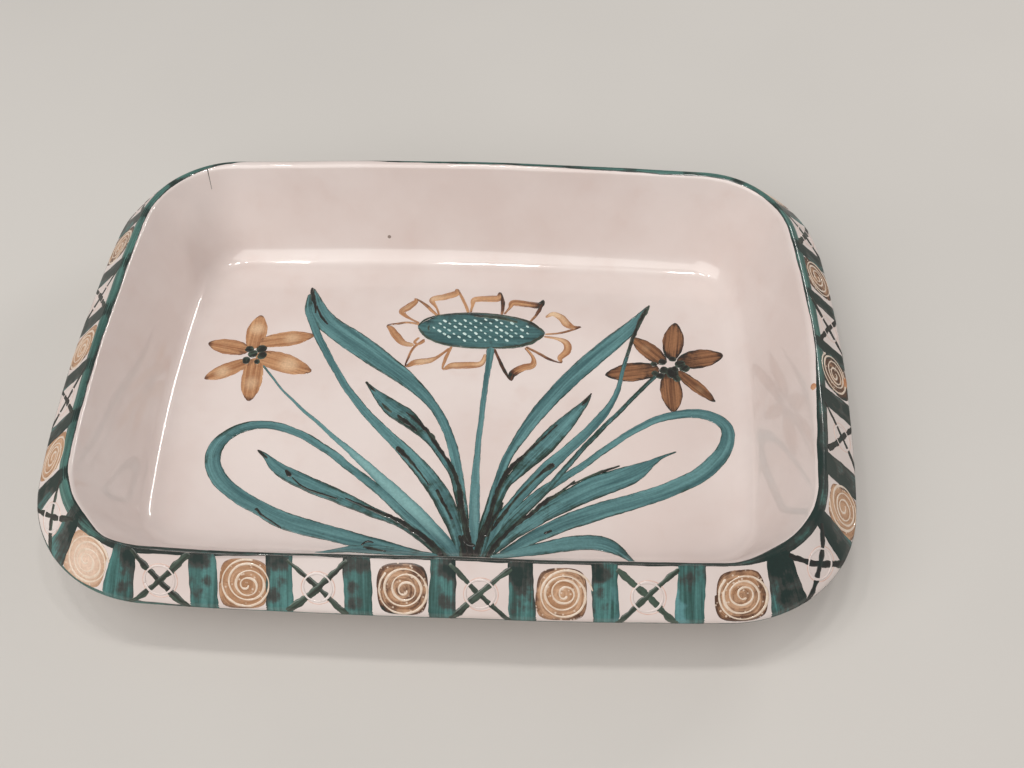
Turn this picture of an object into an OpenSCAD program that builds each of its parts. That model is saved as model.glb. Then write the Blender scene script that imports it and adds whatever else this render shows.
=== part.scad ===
// Hand-painted rectangular serving dish in glazed earthenware, with a turned-down rim.
// Millimetres. X runs along the dish, Y across it, Z up; the foot stands on Z = 0.
// Every layer follows one closed line round the dish (the lip line). Offsets are
// measured outward from that line, so inside the dish they are negative.

/* [Lip line] */
// Length of the lip line, end to end
lip_length = 338; // [300:1:380]
// Width of the lip line, front to back
lip_width = 236; // [210:1:270]
// How far each short end bows outward
end_bow = 9; // [5:0.5:14]
// How far each long side bows outward
side_bow = 5; // [3:0.5:9]
// Radius of the lip line at the four corners
corner_radius = 45; // [45:1:52]

/* [Section] */
// Height of the lip above the table
height = 58; // [50:1:75]
// Thickness of the fired clay in the walls and the floor
clay = 6.5; // [5:0.5:8]
// How far inside the lip line the flat floor begins
floor_inset = 34; // [30:1:34]
// Radius of the curve between the inner wall and the floor
fillet = 14; // [12:1:16]
// Radius of the rounded lip
lip_radius = 2.5; // [2:0.1:3]

/* [Turned-down rim] */
// How far the rim reaches out from the lip line
rim_reach = 17; // [12:0.5:22]
// How far the rim's edge lies below the top of the lip
rim_drop = 20; // [15:0.5:26]
// Radius of the rim's lower edge
edge_radius = 3; // [2.5:0.1:3.5]

/* [Foot] */
// Height of the bare foot
foot_height = 2; // [1.5:0.5:4]
// Width of the foot's standing face
foot_width = 5; // [4:0.5:6]

/* [Glaze and paint] */
// Thickness of the glaze
glaze = 0.5; // [0.3:0.1:0.8]
// Thickness of the painted colour
paint = 0.3; // [0.2:0.1:0.4]

/* [Frieze] */
// Distance along the rim from the middle of the right end to the first disc
first_disc = 52; // [40:1:60]
// Width of a painted bar
bar_width = 11; // [8:0.5:13]
// Diameter of a painted disc
disc_size = 19; // [14:0.5:20]
// Width of a brush line in a cross
cross_line = 2.6; // [1.5:0.1:4]

/* [Floor painting] */
// Width across the petals of a side flower
flower_size = 56; // [40:1:60]
// Distance of the side flowers from the middle
flower_x = 106; // [100:1:110]
// Length of the seed disc of the middle flower
seed_length = 67; // [50:1:70]
// Width of the seed disc of the middle flower
seed_width = 24.5; // [16:0.5:26]

/* [Hidden] */

clay_colour = "#c8906a";
white = "#e8ddd4";
teal = "#3f7a80";
dark_teal = "#24504f";
tan_brown = "#b98d62";
brown = "#8a6244";

half_length = lip_length / 2;
half_width = lip_width / 2;
floor_clay = foot_height + clay;      // top of the clay floor
floor_top = floor_clay + glaze;       // top of the glazed floor

// ---- the lip line: two arcs for the sides, two for the ends, four for the corners ----

function angle_of(v) = atan2(v[1], v[0]);
function direction(a) = [cos(a), sin(a)];
function left_of(v) = [-v[1], v[0]];

// Radius of an arc from its half chord and its bow
function bow_radius(half, bow) = (half * half + bow * bow) / (2 * bow);
side_r = bow_radius(half_length, side_bow);
end_r = bow_radius(half_width, end_bow);
side_centre = [0, half_width - side_r];
end_centre = [half_length - end_r, 0];

// The corner arc touches both neighbours, so its centre lies where two circles cross
function crossing(p, rp, q, rq) =
    let(gap = norm(q - p), u = (q - p) / gap, a = (rp * rp - rq * rq + gap * gap) / (2 * gap))
    p + a * u - sqrt(rp * rp - a * a) * left_of(u);
corner_centre = crossing(side_centre, side_r - corner_radius, end_centre, end_r - corner_radius);
end_angle = angle_of(corner_centre - end_centre);
side_angle = angle_of(corner_centre - side_centre);

// Points along an arc about c
function arc(c, r, from, upto, steps) =
    [for (i = [0:steps]) c + r * direction(from + (upto - from) * i / steps)];
function backwards(list) = [for (i = [len(list) - 1:-1:0]) list[i]];

// One quarter of a line that runs at the given offset from the lip line
corner_steps = 11;
function quarter(offset) = concat(
    arc(end_centre, end_r + offset, 0, end_angle * 2 / 3, 2),
    arc(corner_centre, corner_radius + offset, end_angle, side_angle, corner_steps),
    arc(side_centre, side_r + offset, side_angle + (90 - side_angle) / 4, 90, 3));

// The whole line, anticlockwise from the middle of the right end
function most(list) = [for (i = [0:len(list) - 2]) list[i]];
function whole_line(offset) =
    let(q = quarter(offset), back = backwards(q))
    concat(most(q), most([for (p = back) [-p[0], p[1]]]),
           most(-q), most([for (p = back) [p[0], -p[1]]]));

// Skins a solid round the whole line, through section points [offset, height].
// A closed section makes a ring; an open one is capped at both ends.
module skin(section, closed) {
    around = len(whole_line(0));
    rings = len(section);
    rows = closed ? rings : rings - 1;
    at = function (ring, i) (ring % rings) * around + i % around;
    polyhedron(
        points = [for (s = section) for (p = whole_line(s[0])) [p[0], p[1], s[1]]],
        faces = concat(
            [for (ring = [0:rows - 1], i = [0:around - 1])
                [at(ring, i), at(ring + 1, i + 1), at(ring + 1, i)]],
            [for (ring = [0:rows - 1], i = [0:around - 1])
                [at(ring, i), at(ring, i + 1), at(ring + 1, i + 1)]],
            closed ? [] : [[for (i = [around - 1:-1:0]) at(0, i)],
                           [for (i = [0:around - 1]) at(rings - 1, i)]]));
}

// ---- the section: circles at the lip, the rim's edge and the floor, and lines between ----

lip_c = [-1.5, height - glaze - lip_radius];
edge_c = [rim_reach - glaze - edge_radius, height - rim_drop];
fillet_c = [-floor_inset, floor_clay + fillet];

// Normals of the straight faces, from the circles that each face touches
rim_line = edge_c - lip_c;
rim_turn = acos((lip_radius - edge_radius) / norm(rim_line));
rim_angle = angle_of(rim_line) + rim_turn;
under_angle = angle_of(rim_line) - rim_turn;
wall_line = fillet_c - lip_c;
wall_angle = 360 + angle_of(wall_line) - acos((lip_radius + fillet) / norm(wall_line));
rim_n = direction(rim_angle);
under_n = direction(under_angle);
wall_n = direction(wall_angle);
back_angle = wall_angle + 180;
back_n = -wall_n;

// Where two lines cross, each given by its normal and its distance from the origin
function meet(n, k, m, j) = [k * m[1] - j * n[1], j * n[0] - k * m[0]] / (n[0] * m[1] - n[1] * m[0]);

// The hollow under the rim, where its underside meets the back of the wall
crotch = 4;
under_d = under_n * lip_c + lip_radius;
back_d = back_n * fillet_c + fillet + clay;
crotch_c = meet(under_n, under_d + crotch, back_n, back_d + crotch);

// The faces of the clay in the order they are met, from the floor over the lip and back
// under the rim. Each is a list of points at depth d outside the clay.
line_end = -30;                       // angle on the rim's edge where the painted line stops
glaze_end = 285;                      // angle on the base where the outside glaze stops

function inner_face(d) = concat(arc(fillet_c, fillet - d, 270, wall_angle + 180, 5),
                                [lip_c + (lip_radius + d) * wall_n]);
function lip_face(d) = arc(lip_c, lip_radius + d, wall_angle, rim_angle, 4);
function rim_face(d) = [lip_c + (lip_radius + d) * rim_n, edge_c + (edge_radius + d) * rim_n];
function edge_face(d) = arc(edge_c, edge_radius + d, rim_angle, line_end, 3);
function underside(d) = arc(edge_c, edge_radius + d, line_end, under_angle, 3);
function back_face(d) = concat(arc(crotch_c, crotch - d, under_angle + 180, wall_angle, 3),
    arc(fillet_c, fillet + clay + d, back_angle, glaze_end, 4));
function under_face(d) = concat(underside(d), back_face(d));
function after_first(list) = [for (i = [1:len(list) - 1]) list[i]];

// ---- layers: clay, glaze and the painted lines that run right round ----

module clay_floor() color(clay_colour)
    translate([0, 0, foot_height]) linear_extrude(clay) polygon(whole_line(-floor_inset));

module clay_wall() color(clay_colour)
    skin(concat(inner_face(0), after_first(lip_face(0)), back_face(0),
                [fillet_c - [0, fillet + clay]]), closed = true);

// The rim is the slab that turns down from the lip, with its root under the wall's top
module clay_rim() color(clay_colour)
    skin(concat([lip_face(0)[4]], edge_face(0), after_first(underside(0)), [back_face(0)[0]]),
         closed = true);

module ring_layer(outside, inside) skin(concat(outside, backwards(inside)), closed = true);

module inner_glaze() color(white)
    skin(concat(inner_face(glaze), backwards(inner_face(0))), closed = false);

module rim_glaze() color(white) ring_layer(rim_face(glaze), rim_face(0));

module under_glaze() color(white) ring_layer(under_face(glaze), under_face(0));

module rim_band() color(teal) ring_layer(lip_face(glaze), lip_face(0));

module edge_line() color(teal) ring_layer(edge_face(glaze), edge_face(0));

// The bare foot is a low ring under the edge of the floor
foot_offset = -floor_inset - 4;

module foot_ring() color(clay_colour) linear_extrude(foot_height) difference() {
    polygon(whole_line(foot_offset));
    polygon(whole_line(foot_offset - foot_width));
}

// ---- the frieze on the rim: disc, bar, cross, bar, spaced by eye ----

// Width of each repeat as the painter set it, counted from the right end round the back
repeat_widths = [62, 62, 62, 63, 63, 63, 62, 65, 63, 62, 67, 66, 69, 73, 66, 74, 59];
repeats = len(repeat_widths);

function total(list, upto) = upto <= 0 ? 0 : list[upto - 1] + total(list, upto - 1);

// Lengths of the pieces of the line that runs along the middle of the rim
rim_middle = rim_reach / 2;
function arc_length(radius, angle) = radius * angle * PI / 180;
end_half = arc_length(end_r + rim_middle, end_angle);
corner_length = arc_length(corner_radius + rim_middle, side_angle - end_angle);
side_half = arc_length(side_r + rim_middle, 90 - side_angle);
half_round = 2 * (end_half + corner_length + side_half);

function arc_station(centre, radius, start, run) =
    let(a = start + run / radius * 180 / PI) concat(centre + radius * direction(a), [a]);

// Position [x, y] and outward direction at distance s along the middle of the rim
function station(s) =
    s >= 2 * half_round ? station(s - 2 * half_round) :
    s >= half_round ? let(p = station(s - half_round)) [-p[0], -p[1], p[2] + 180] :
    s > half_round / 2 ? let(p = station(half_round - s)) [-p[0], p[1], 180 - p[2]] :
    s < end_half ? arc_station(end_centre, end_r + rim_middle, 0, s) :
    s < end_half + corner_length ?
        arc_station(corner_centre, corner_radius + rim_middle, end_angle, s - end_half) :
    arc_station(side_centre, side_r + rim_middle, side_angle, s - end_half - corner_length);

// A point on the glazed face of the rim: u along it from distance s, v down its slope
rim_middle_point = (lip_c + edge_c + (lip_radius + edge_radius) * rim_n) / 2;
down_slope = [rim_n[1], -rim_n[0]];
function on_rim(s, u, v, d) =
    let(p = station(s + u), q = rim_middle_point + v * down_slope + d * rim_n,
        out = (q[0] - rim_middle) * direction(p[2]))
    [p[0] + out[0], p[1] + out[1], q[1]];

// A patch of paint that follows the rim, cut into slices [u, v_from, v_to]
module rim_patch(s, slices) {
    n = len(slices);
    corners = [[1, glaze], [1, glaze + paint], [2, glaze + paint], [2, glaze]];
    polyhedron(
        points = [for (c = slices) for (k = corners) on_rim(s, c[0], c[k[0]], k[1])],
        faces = concat(
            [for (i = [0:n - 2], k = [0:3]) [4 * i + k, 4 * i + (k + 1) % 4, 4 * i + 4 + (k + 1) % 4]],
            [for (i = [0:n - 2], k = [0:3]) [4 * i + k, 4 * i + 4 + (k + 1) % 4, 4 * i + 4 + k]],
            [[3, 2, 1, 0], [for (k = [0:3]) 4 * (n - 1) + k]]));
}

// Distance along the rim at a part of the way from one disc to the next
function repeat_at(i, part) = first_disc + 2 * half_round
    * (total(repeat_widths, i) + part * repeat_widths[i]) / total(repeat_widths, repeats);

slope_half = norm(rim_line) / 2;      // half the width of the rim's flat face

module frieze_bars() color(dark_teal)
    for (i = [0:repeats - 1], part = [0.225, 0.72])
        rim_patch(repeat_at(i, part),
                  [for (u = [-0.5:0.25:0.5]) [u * bar_width, -slope_half, slope_half]]);

cross_reach = 8.5;                    // how far a cross reaches along the rim
module cross_stroke(s, way, from, upto)
    rim_patch(s, [for (t = [from:(upto - from) / 3:upto + 0.01])
        let(v = way * t * 0.8 * slope_half, w = 0.7 * cross_line) [t * cross_reach, v - w, v + w]]);

// One stroke runs right across; the other is lifted where it meets the first
module frieze_crosses() color(dark_teal)
    for (i = [0:repeats - 1]) {
        s = repeat_at(i, 0.47);
        cross_stroke(s, 1, -1, 1);
        cross_stroke(s, -1, -1, -0.22);
        cross_stroke(s, -1, 0.22, 1);
    }

module frieze_discs() color(tan_brown)
    for (i = [0:repeats - 1])
        rim_patch(repeat_at(i, 0),
                  [for (a = [170:-20:10]) let(r = disc_size / 2)
                      [r * cos(a), -r * sin(a), r * sin(a)]]);

// ---- the painting on the floor: brush strokes given as [x, y, width] along their middle ----

// Smooth curve through the points of a stroke
function pull(list, i) = list[max(0, min(len(list) - 1, i))];
function smooth(a, b, c, d, t) =
    b + t / 2 * (c - a) + t * t * (a - 2.5 * b + 2 * c - d / 2) + t * t * t / 2 * (3 * (b - c) + d - a);
function curve(points, steps) = concat(
    [for (i = [0:len(points) - 2], k = [0:steps - 1])
        smooth(pull(points, i - 1), points[i], points[i + 1], pull(points, i + 2), k / steps)],
    [points[len(points) - 1]]);

function flat(p) = [p[0], p[1]];
function edge_point(path, i, side) =
    let(run = flat(pull(path, i + 1)) - flat(pull(path, i - 1)))
    flat(path[i]) + side * path[i][2] / 2 * left_of(run / norm(run));

module stroke(points, steps = 3) {
    path = curve(points, steps);
    last = len(path) - 1;
    polygon(concat([for (i = [0:last]) edge_point(path, i, 1)],
                   [for (i = [last:-1:0]) edge_point(path, i, -1)]));
}

// The leaves and stems spring from one place at the front of the floor
left_leaves = [
    [[-83.5, 70, 2], [-80, 59, 8], [-75.5, 50, 11], [-69, 43, 12.5], [-54.5, 32, 14], [-40.5, 21, 12.5],
     [-27, 10, 9.5], [-15, -2.5, 6], [-6.5, -16, 5], [-0.5, -32, 5], [3.5, -50, 5], [9, -86, 5]],
    [[-84.5, 66, 2], [-84, 56, 4], [-80.5, 46.5, 4.5], [-65.5, 17.5, 4], [-56.5, 3, 4], [-44, -13, 5],
     [-32, -25.5, 6], [-20.5, -37.5, 8], [-9, -51.5, 10], [-1, -65, 9.5], [7, -86, 5]],
    [[-48, 8, 1], [-40.5, -0.5, 5.5], [-32, -8.5, 10], [-23, -15.5, 9.5], [-14, -25, 5], [-2.5, -40, 3.6],
     [5, -60, 4], [10.5, -86, 5]],
    [[-96, -35, 1], [-86.5, -43.5, 6], [-75.5, -50.5, 8.5], [-62.5, -56.5, 8.5], [-48.5, -62.5, 7.5],
     [-35.5, -68.5, 6], [-20, -75.5, 4], [-2, -87, 5]],
    [[-55, -89.5, 1.5], [-38, -87, 6], [-10, -89, 4]]];

right_leaves = [
    [[97, 63.5, 1.2], [88.5, 50.5, 7], [78, 38.5, 10], [67.5, 27, 10.5], [58, 16, 10], [48, 3, 9],
     [39.5, -9.5, 8], [32, -21, 6], [24.5, -40, 4], [19.5, -60, 5], [14, -86, 5]],
    [[97, 63.5, 1], [89, 44.5, 2.2], [82.5, 20, 2.4], [80, 8, 2.6], [73, -8, 4.6], [64, -20, 5],
     [54.5, -30, 5.5], [45.5, -40, 7], [38.5, -50, 6.5], [23, -72, 5], [17, -86, 4.5]],
    [[66.5, 4.5, 1], [60, -6, 5.5], [52, -16.5, 9.5], [44, -27.5, 10.5], [36, -37.5, 8.5], [27, -49, 4.5],
     [21.5, -64, 4.5], [15, -86, 5]],
    [[108, -29, 1], [96, -36, 4], [85, -43.5, 11], [77, -47, 12.5], [61, -55, 12.5], [45, -65.5, 10],
     [28, -80, 6], [18, -87, 4]],
    [[24, -89, 3], [36, -85.5, 5], [50, -82.5, 6.5], [63, -81.5, 7], [73, -83, 6.5], [84, -89, 2]]];

loops = [
    [[0, -87, 5], [-19.5, -70, 5.5], [-40, -51.5, 4.6], [-58, -37, 4.6], [-73, -27, 4.6], [-88, -21, 5],
     [-96, -20.2, 5.4], [-103.5, -21.5, 6], [-110.5, -25.5, 6.8], [-115.5, -31.5, 7.8], [-117, -38.5, 8.4],
     [-115.5, -46, 8.4], [-110, -54, 8.4], [-100, -62, 8.2], [-89.5, -67.8, 8.2], [-76, -74.5, 9.8],
     [-60, -79, 9], [-40, -84, 8], [-15, -87, 6]],
    [[17, -87, 4], [26, -75, 5], [36, -61.5, 5.4], [45, -52.5, 5], [62.5, -38.8, 4], [78, -25, 3.8],
     [89.5, -16, 4], [104, -8.4, 4.8], [119, -6, 6], [126, -7.5, 6.4], [131.5, -11.5, 6.8],
     [133.5, -17, 7], [132.5, -23.5, 7.6], [126, -34.5, 8.8], [116, -43.8, 8.8], [100, -52.5, 8.8],
     [81, -60, 9.2], [63, -66.5, 10], [45, -76, 8], [32, -81, 6.5]]];

stems = [
    [[-102, 17, 1.2], [-90, 2, 1.4], [-77.5, -10.5, 1.8], [-64, -22.5, 2.3], [-51, -34, 3.6],
     [-36, -48, 5.5], [-18, -65, 7], [2, -86, 5.5]],
    [[14.5, 31, 4.5], [13, 10, 3], [12.2, -10, 3], [11.3, -32, 3.2], [11.6, -60, 5.2], [12, -86, 5]],
    [[99.5, 17, 2.2], [90.5, 6.5, 2.4], [79.5, -7.5, 2.6], [68, -21, 3], [56, -37, 3], [44, -54, 4],
     [29, -72, 4.5], [18, -86, 5]]];

module foliage_shape()
    for (list = [left_leaves, right_leaves, loops, stems])
        for (points = list) stroke(points, 2);

// Raises a flat shape as a layer of paint on the glazed floor
module floor_paint(colour)
    color(colour) translate([0, 0, floor_top]) linear_extrude(paint) children();

module foliage() floor_paint(teal) foliage_shape();

// The pointed seed disc of the middle flower
seed_centre = [8.8, 43.4];

module seed_shape() {
    a = seed_length / 2;
    b = seed_width / 2;
    translate(seed_centre) rotate([0, 0, -4])
        stroke([[-a, 0, 1], [-0.85 * a, 0, b], [-0.5 * a, 0, 1.75 * b], [0, 0, 2 * b],
                [0.5 * a, 0, 1.75 * b], [0.85 * a, 0, b], [a, 0, 1]]);
}

module seed_disc() floor_paint(dark_teal) difference() {
    seed_shape();
    foliage_shape();
}

// Outlined petals round the seed disc: a broad dab across each tip, and lines down to the disc
middle_strokes = [
    [[-15, 53, 1.2], [-15.6, 58, 1.6], [-19, 64.5, 1.5]],
    [[-19, 64.5, 1.5], [-12, 66.3, 4.6], [-5.5, 69.5, 1.5]],
    [[-6, 71.5, 1], [-3, 66, 2], [0.8, 57, 2]],
    [[2, 56, 1.2], [3, 60, 1.6], [4.2, 64.5, 1.5]], [[3, 65, 1.5], [10, 65.5, 4.8], [17, 66.5, 1.5]],
    [[17.5, 70, 1], [19.2, 64, 2.4], [19.5, 55.5, 2]],
    [[21, 56, 1.2], [23.5, 61.5, 1.6]], [[22.5, 62.5, 1.5], [31, 62.5, 4.8], [39.5, 62.5, 1.5]],
    [[40.5, 65.5, 1], [38.5, 58, 2.2], [35.5, 51, 2]],
    [[43, 55, 1.5], [48, 54.5, 4.5], [53, 49.5, 4.5], [59, 47.5, 1.5]],
    [[61, 47.6, 0.8], [52, 44.2, 1.6], [44, 41.8, 1.4]],
    [[43.5, 40, 1.2], [50, 39, 3.5], [54, 34, 4.2], [52.5, 28, 4], [48.5, 25, 1.5]],
    [[51, 23.5, 0.8], [44, 26, 1.8], [34.5, 33, 1.6]],
    [[16.5, 31, 1.5], [19, 24, 1.8], [25.5, 11.5, 1.2]], [[25, 13.5, 1.5], [29, 18.5, 4.8], [37, 22, 1.5]],
    [[37, 21.5, 1], [36, 28, 2], [32, 33, 1.8]],
    [[-6.5, 32, 1.6], [-8, 25, 2], [-9, 17.5, 1.2]], [[-9, 19.5, 1.5], [1, 20, 4.6], [10, 21, 1.5]],
    [[9.8, 20.5, 1], [12, 28, 1.5]],
    [[-28, 20, 1.5], [-20, 21.5, 4.2], [-12, 25.5, 1.5]], [[-12.5, 24.5, 1.2], [-8, 31, 1.5]],
    [[-28.5, 18.5, 1], [-26.5, 28, 1.6], [-22, 36.5, 1.5]],
    [[-38.5, 43, 1.5], [-35.5, 36.5, 4.6], [-30, 33, 4], [-25.5, 32.5, 1.5]],
    [[-40.5, 45.2, 1], [-32, 47.2, 1.6], [-24.5, 46.5, 1.4]],
    [[-34.5, 54, 1.5], [-31, 58.5, 4.6], [-26.5, 62.5, 1.5]],
    [[-27.5, 64, 1], [-22, 60, 1.8], [-15.5, 53, 1.8]],
    [[-35, 54.5, 1.2], [-29, 50, 1.6], [-25, 47.3, 1.5]]];

module middle_petals() floor_paint(tan_brown) difference() {
    for (points = middle_strokes) stroke(points, 2);
    seed_shape();
    foliage_shape();
}

// The side flowers have six pointed petals round a clear centre, as [angle, length, width]
left_rays = [
    [26, 32, 9.5], [93, 27.5, 10.5], [164, 26, 10], [213, 28.5, 9], [273, 29, 11], [343, 32.5, 12]];
right_rays = [[17, 30, 13], [80, 29.5, 11.5], [133, 25.5, 10], [191, 32.5, 12.5], [273, 28.5, 11.5],
              [316, 31, 6.5]];

module petal_ring(centre, rays) translate(centre) scale(flower_size / 56)
    for (ray = rays)
        rotate([0, 0, ray[0]])
            stroke([[6, 0, 0.4 * ray[2]], [0.38 * ray[1], 0, 0.85 * ray[2]], [0.58 * ray[1], 0, ray[2]],
                    [0.8 * ray[1], 0, 0.7 * ray[2]], [ray[1], 0, 1]]);

module flower(centre, rays, colour) floor_paint(colour) difference() {
    petal_ring(centre, rays);
    foliage_shape();
}

module stamens(centre, turn) floor_paint(dark_teal) difference() {
    translate(centre)
        for (i = [0:4])
            rotate([0, 0, turn + i * 72]) translate([3.4, 0]) circle(d = 3.4, $fn = 24);
    foliage_shape();
}

left_centre = [-flower_x, 23];
right_centre = [flower_x, 23];

module left_petals() flower(left_centre, left_rays, tan_brown);
module right_petals() flower(right_centre, right_rays, brown);
module left_stamens() stamens(left_centre, 20);
module right_stamens() stamens(right_centre, 50);

clay_floor();
clay_wall();
clay_rim();
foot_ring();
inner_glaze();
rim_glaze();
under_glaze();
rim_band();
edge_line();
frieze_bars();
frieze_crosses();
frieze_discs();
foliage();
seed_disc();
middle_petals();
left_petals();
right_petals();
left_stamens();
right_stamens();
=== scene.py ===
"""Looks of the hand-painted earthenware dish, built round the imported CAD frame."""

import math

import bpy
import numpy as np
from mathutils import Matrix, Vector


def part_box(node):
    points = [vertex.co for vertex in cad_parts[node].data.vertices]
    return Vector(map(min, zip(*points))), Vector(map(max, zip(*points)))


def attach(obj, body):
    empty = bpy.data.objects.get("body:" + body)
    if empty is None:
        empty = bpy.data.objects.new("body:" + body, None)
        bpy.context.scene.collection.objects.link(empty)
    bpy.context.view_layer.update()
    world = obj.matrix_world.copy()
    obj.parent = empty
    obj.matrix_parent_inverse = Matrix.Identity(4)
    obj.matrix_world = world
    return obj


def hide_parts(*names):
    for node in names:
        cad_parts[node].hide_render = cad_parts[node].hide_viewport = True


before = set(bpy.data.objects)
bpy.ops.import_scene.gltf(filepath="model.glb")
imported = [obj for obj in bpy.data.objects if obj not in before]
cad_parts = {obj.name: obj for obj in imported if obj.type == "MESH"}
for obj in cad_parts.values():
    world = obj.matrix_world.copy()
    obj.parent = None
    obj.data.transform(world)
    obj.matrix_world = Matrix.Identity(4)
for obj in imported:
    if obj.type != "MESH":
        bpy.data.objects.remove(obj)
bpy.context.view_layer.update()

MM = 0.001
TURN = 2 * math.pi

# ---- sizes of the dish, in millimetres: from the frame where its boxes give them ----


def from_frame(metres):
    """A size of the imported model, to the half millimetre that its flat facets fall short of."""
    return round(2 * metres / MM) / 2


RIM_REACH, RIM_DROP, CROTCH_R = 17.0, 20.0, 4.0
END_BOW, SIDE_BOW, CORNER_R = 9.0, 5.0, 45.0
FILLET_R, LIP_R, EDGE_R, GLAZE, FOOT_WIDTH = 14.0, 2.5, 3.0, 0.5, 5.0
RIM_END, FOOT_TOP, FLOOR_TOP = (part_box(n)[1] for n in ("edge_line", "foot_ring", "clay_floor"))
HALF_LENGTH, HALF_WIDTH = (from_frame(v) - RIM_REACH for v in RIM_END[:2])  # the lip line
HEIGHT = from_frame(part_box("rim_band")[1].z)
FOOT_HEIGHT = from_frame(FOOT_TOP.z)
CLAY = from_frame(FLOOR_TOP.z) - FOOT_HEIGHT
FLOOR_INSET = HALF_LENGTH - from_frame(FLOOR_TOP.x)
FOOT_OUTER = from_frame(FOOT_TOP.x) - HALF_LENGTH
FOOT_INNER = FOOT_OUTER - FOOT_WIDTH
RIM_MIDDLE = RIM_REACH / 2


def direction(angle):
    return np.stack([np.cos(angle), np.sin(angle)], -1)


def angle_of(v):
    return math.atan2(v[1], v[0])


def bow_radius(half, bow):
    return (half * half + bow * bow) / (2 * bow)


# ---- the lip line: arcs for the ends, the corners and the sides ----

END_R = bow_radius(HALF_WIDTH, END_BOW)
SIDE_R = bow_radius(HALF_LENGTH, SIDE_BOW)
END_C = np.array([HALF_LENGTH - END_R, 0.0])
SIDE_C = np.array([0.0, HALF_WIDTH - SIDE_R])


def crossing(p, rp, q, rq):
    """Where the circles about p and q cross, on the right of the line from p to q."""
    gap = np.linalg.norm(q - p)
    u = (q - p) / gap
    a = (rp * rp - rq * rq + gap * gap) / (2 * gap)
    return p + a * u - math.sqrt(rp * rp - a * a) * np.array([-u[1], u[0]])


CORNER_C = crossing(SIDE_C, SIDE_R - CORNER_R, END_C, END_R - CORNER_R)
END_ANGLE = angle_of(CORNER_C - END_C)
SIDE_ANGLE = angle_of(CORNER_C - SIDE_C)


def arcs_round():
    """(centre, radius, from, to) of each arc, anticlockwise from the middle of the right end."""
    first = [
        (END_C, END_R, 0.0, END_ANGLE),
        (CORNER_C, CORNER_R, END_ANGLE, SIDE_ANGLE),
        (SIDE_C, SIDE_R, SIDE_ANGLE, math.pi / 2),
    ]
    flip = np.array([-1.0, 1.0])
    second = [(c * flip, r, math.pi - b, math.pi - a) for c, r, a, b in reversed(first)]
    half = first + second
    return half + [(-c, r, a + math.pi, b + math.pi) for c, r, a, b in half]


ARCS = arcs_round()
ARC_C = np.array([a[0] for a in ARCS])
ARC_R = np.array([a[1] for a in ARCS])
ARC_FROM = np.array([a[2] for a in ARCS])
ARC_LENGTH = np.array([(r + RIM_MIDDLE) * (b - a) for _, r, a, b in ARCS])
ARC_START = np.concatenate([[0.0], np.cumsum(ARC_LENGTH)[:-1]])
ROUND = float(ARC_LENGTH.sum())  # distance once round the middle of the rim


def station(s):
    """Points of the lip line and its outward normals, at distances s round the rim's middle."""
    s = np.mod(s, ROUND)
    k = np.searchsorted(ARC_START, s, side="right") - 1
    n = direction(ARC_FROM[k] + (s - ARC_START[k]) / (ARC_R[k] + RIM_MIDDLE))
    return ARC_C[k] + ARC_R[k][..., None] * n, n


# ---- the section: circles at the lip, the rim's edge, the floor, and lines between ----

LIP_C = np.array([-1.5, HEIGHT - GLAZE - LIP_R])
EDGE_C = np.array([RIM_REACH - GLAZE - EDGE_R, HEIGHT - RIM_DROP])
FILLET_C = np.array([-FLOOR_INSET, FOOT_HEIGHT + CLAY + FILLET_R])
rim_line = EDGE_C - LIP_C
rim_turn = math.acos((LIP_R - EDGE_R) / np.linalg.norm(rim_line))
RIM_ANGLE = angle_of(rim_line) + rim_turn
UNDER_ANGLE = angle_of(rim_line) - rim_turn
wall_line = FILLET_C - LIP_C
WALL_ANGLE = TURN + angle_of(wall_line) - math.acos(
    (LIP_R + FILLET_R) / np.linalg.norm(wall_line)
)
RIM_N, UNDER_N, WALL_N = (direction(a) for a in (RIM_ANGLE, UNDER_ANGLE, WALL_ANGLE))
DOWN_RIM = np.array([RIM_N[1], -RIM_N[0]])
DOWN_WALL = np.array([WALL_N[1], -WALL_N[0]]) * (1 if WALL_N[0] > 0 else -1)
RIM_FACE = math.sqrt(rim_line @ rim_line - (LIP_R - EDGE_R) ** 2)
LIP_GLAZED, EDGE_GLAZED = LIP_R + GLAZE, EDGE_R + GLAZE
LIP_ARC = (WALL_ANGLE - RIM_ANGLE) * LIP_GLAZED


def over_rim(t, lift=0.0):
    """[offset, height] of the glazed surface raised by lift. t is measured down from the top
    of the rim's flat face: below 0 it runs over the lip and down the inner wall."""
    t = np.asarray(t, float)
    lift = np.broadcast_to(lift, t.shape)[..., None]
    lip_angle = np.minimum(RIM_ANGLE - np.minimum(t, 0) / LIP_GLAZED, WALL_ANGLE)
    down = np.maximum(-t - LIP_ARC, 0)[..., None] * DOWN_WALL
    lip = LIP_C + (LIP_GLAZED + lift) * direction(lip_angle) + down
    face = LIP_C + (LIP_GLAZED + lift) * RIM_N + t[..., None] * DOWN_RIM
    edge_angle = RIM_ANGLE - np.maximum(t - RIM_FACE, 0) / EDGE_GLAZED
    edge = EDGE_C + (EDGE_GLAZED + lift) * direction(edge_angle)
    t = t[..., None]
    return np.where(t < 0, lip, np.where(t <= RIM_FACE, face, edge))


def on_rim(s, t, lift):
    """Points on the lip and the rim: s runs round it, t down it."""
    p, n = station(s)
    q = over_rim(t, lift)
    return np.concatenate([p + q[..., :1] * n, q[..., 1:]], -1)


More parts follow.
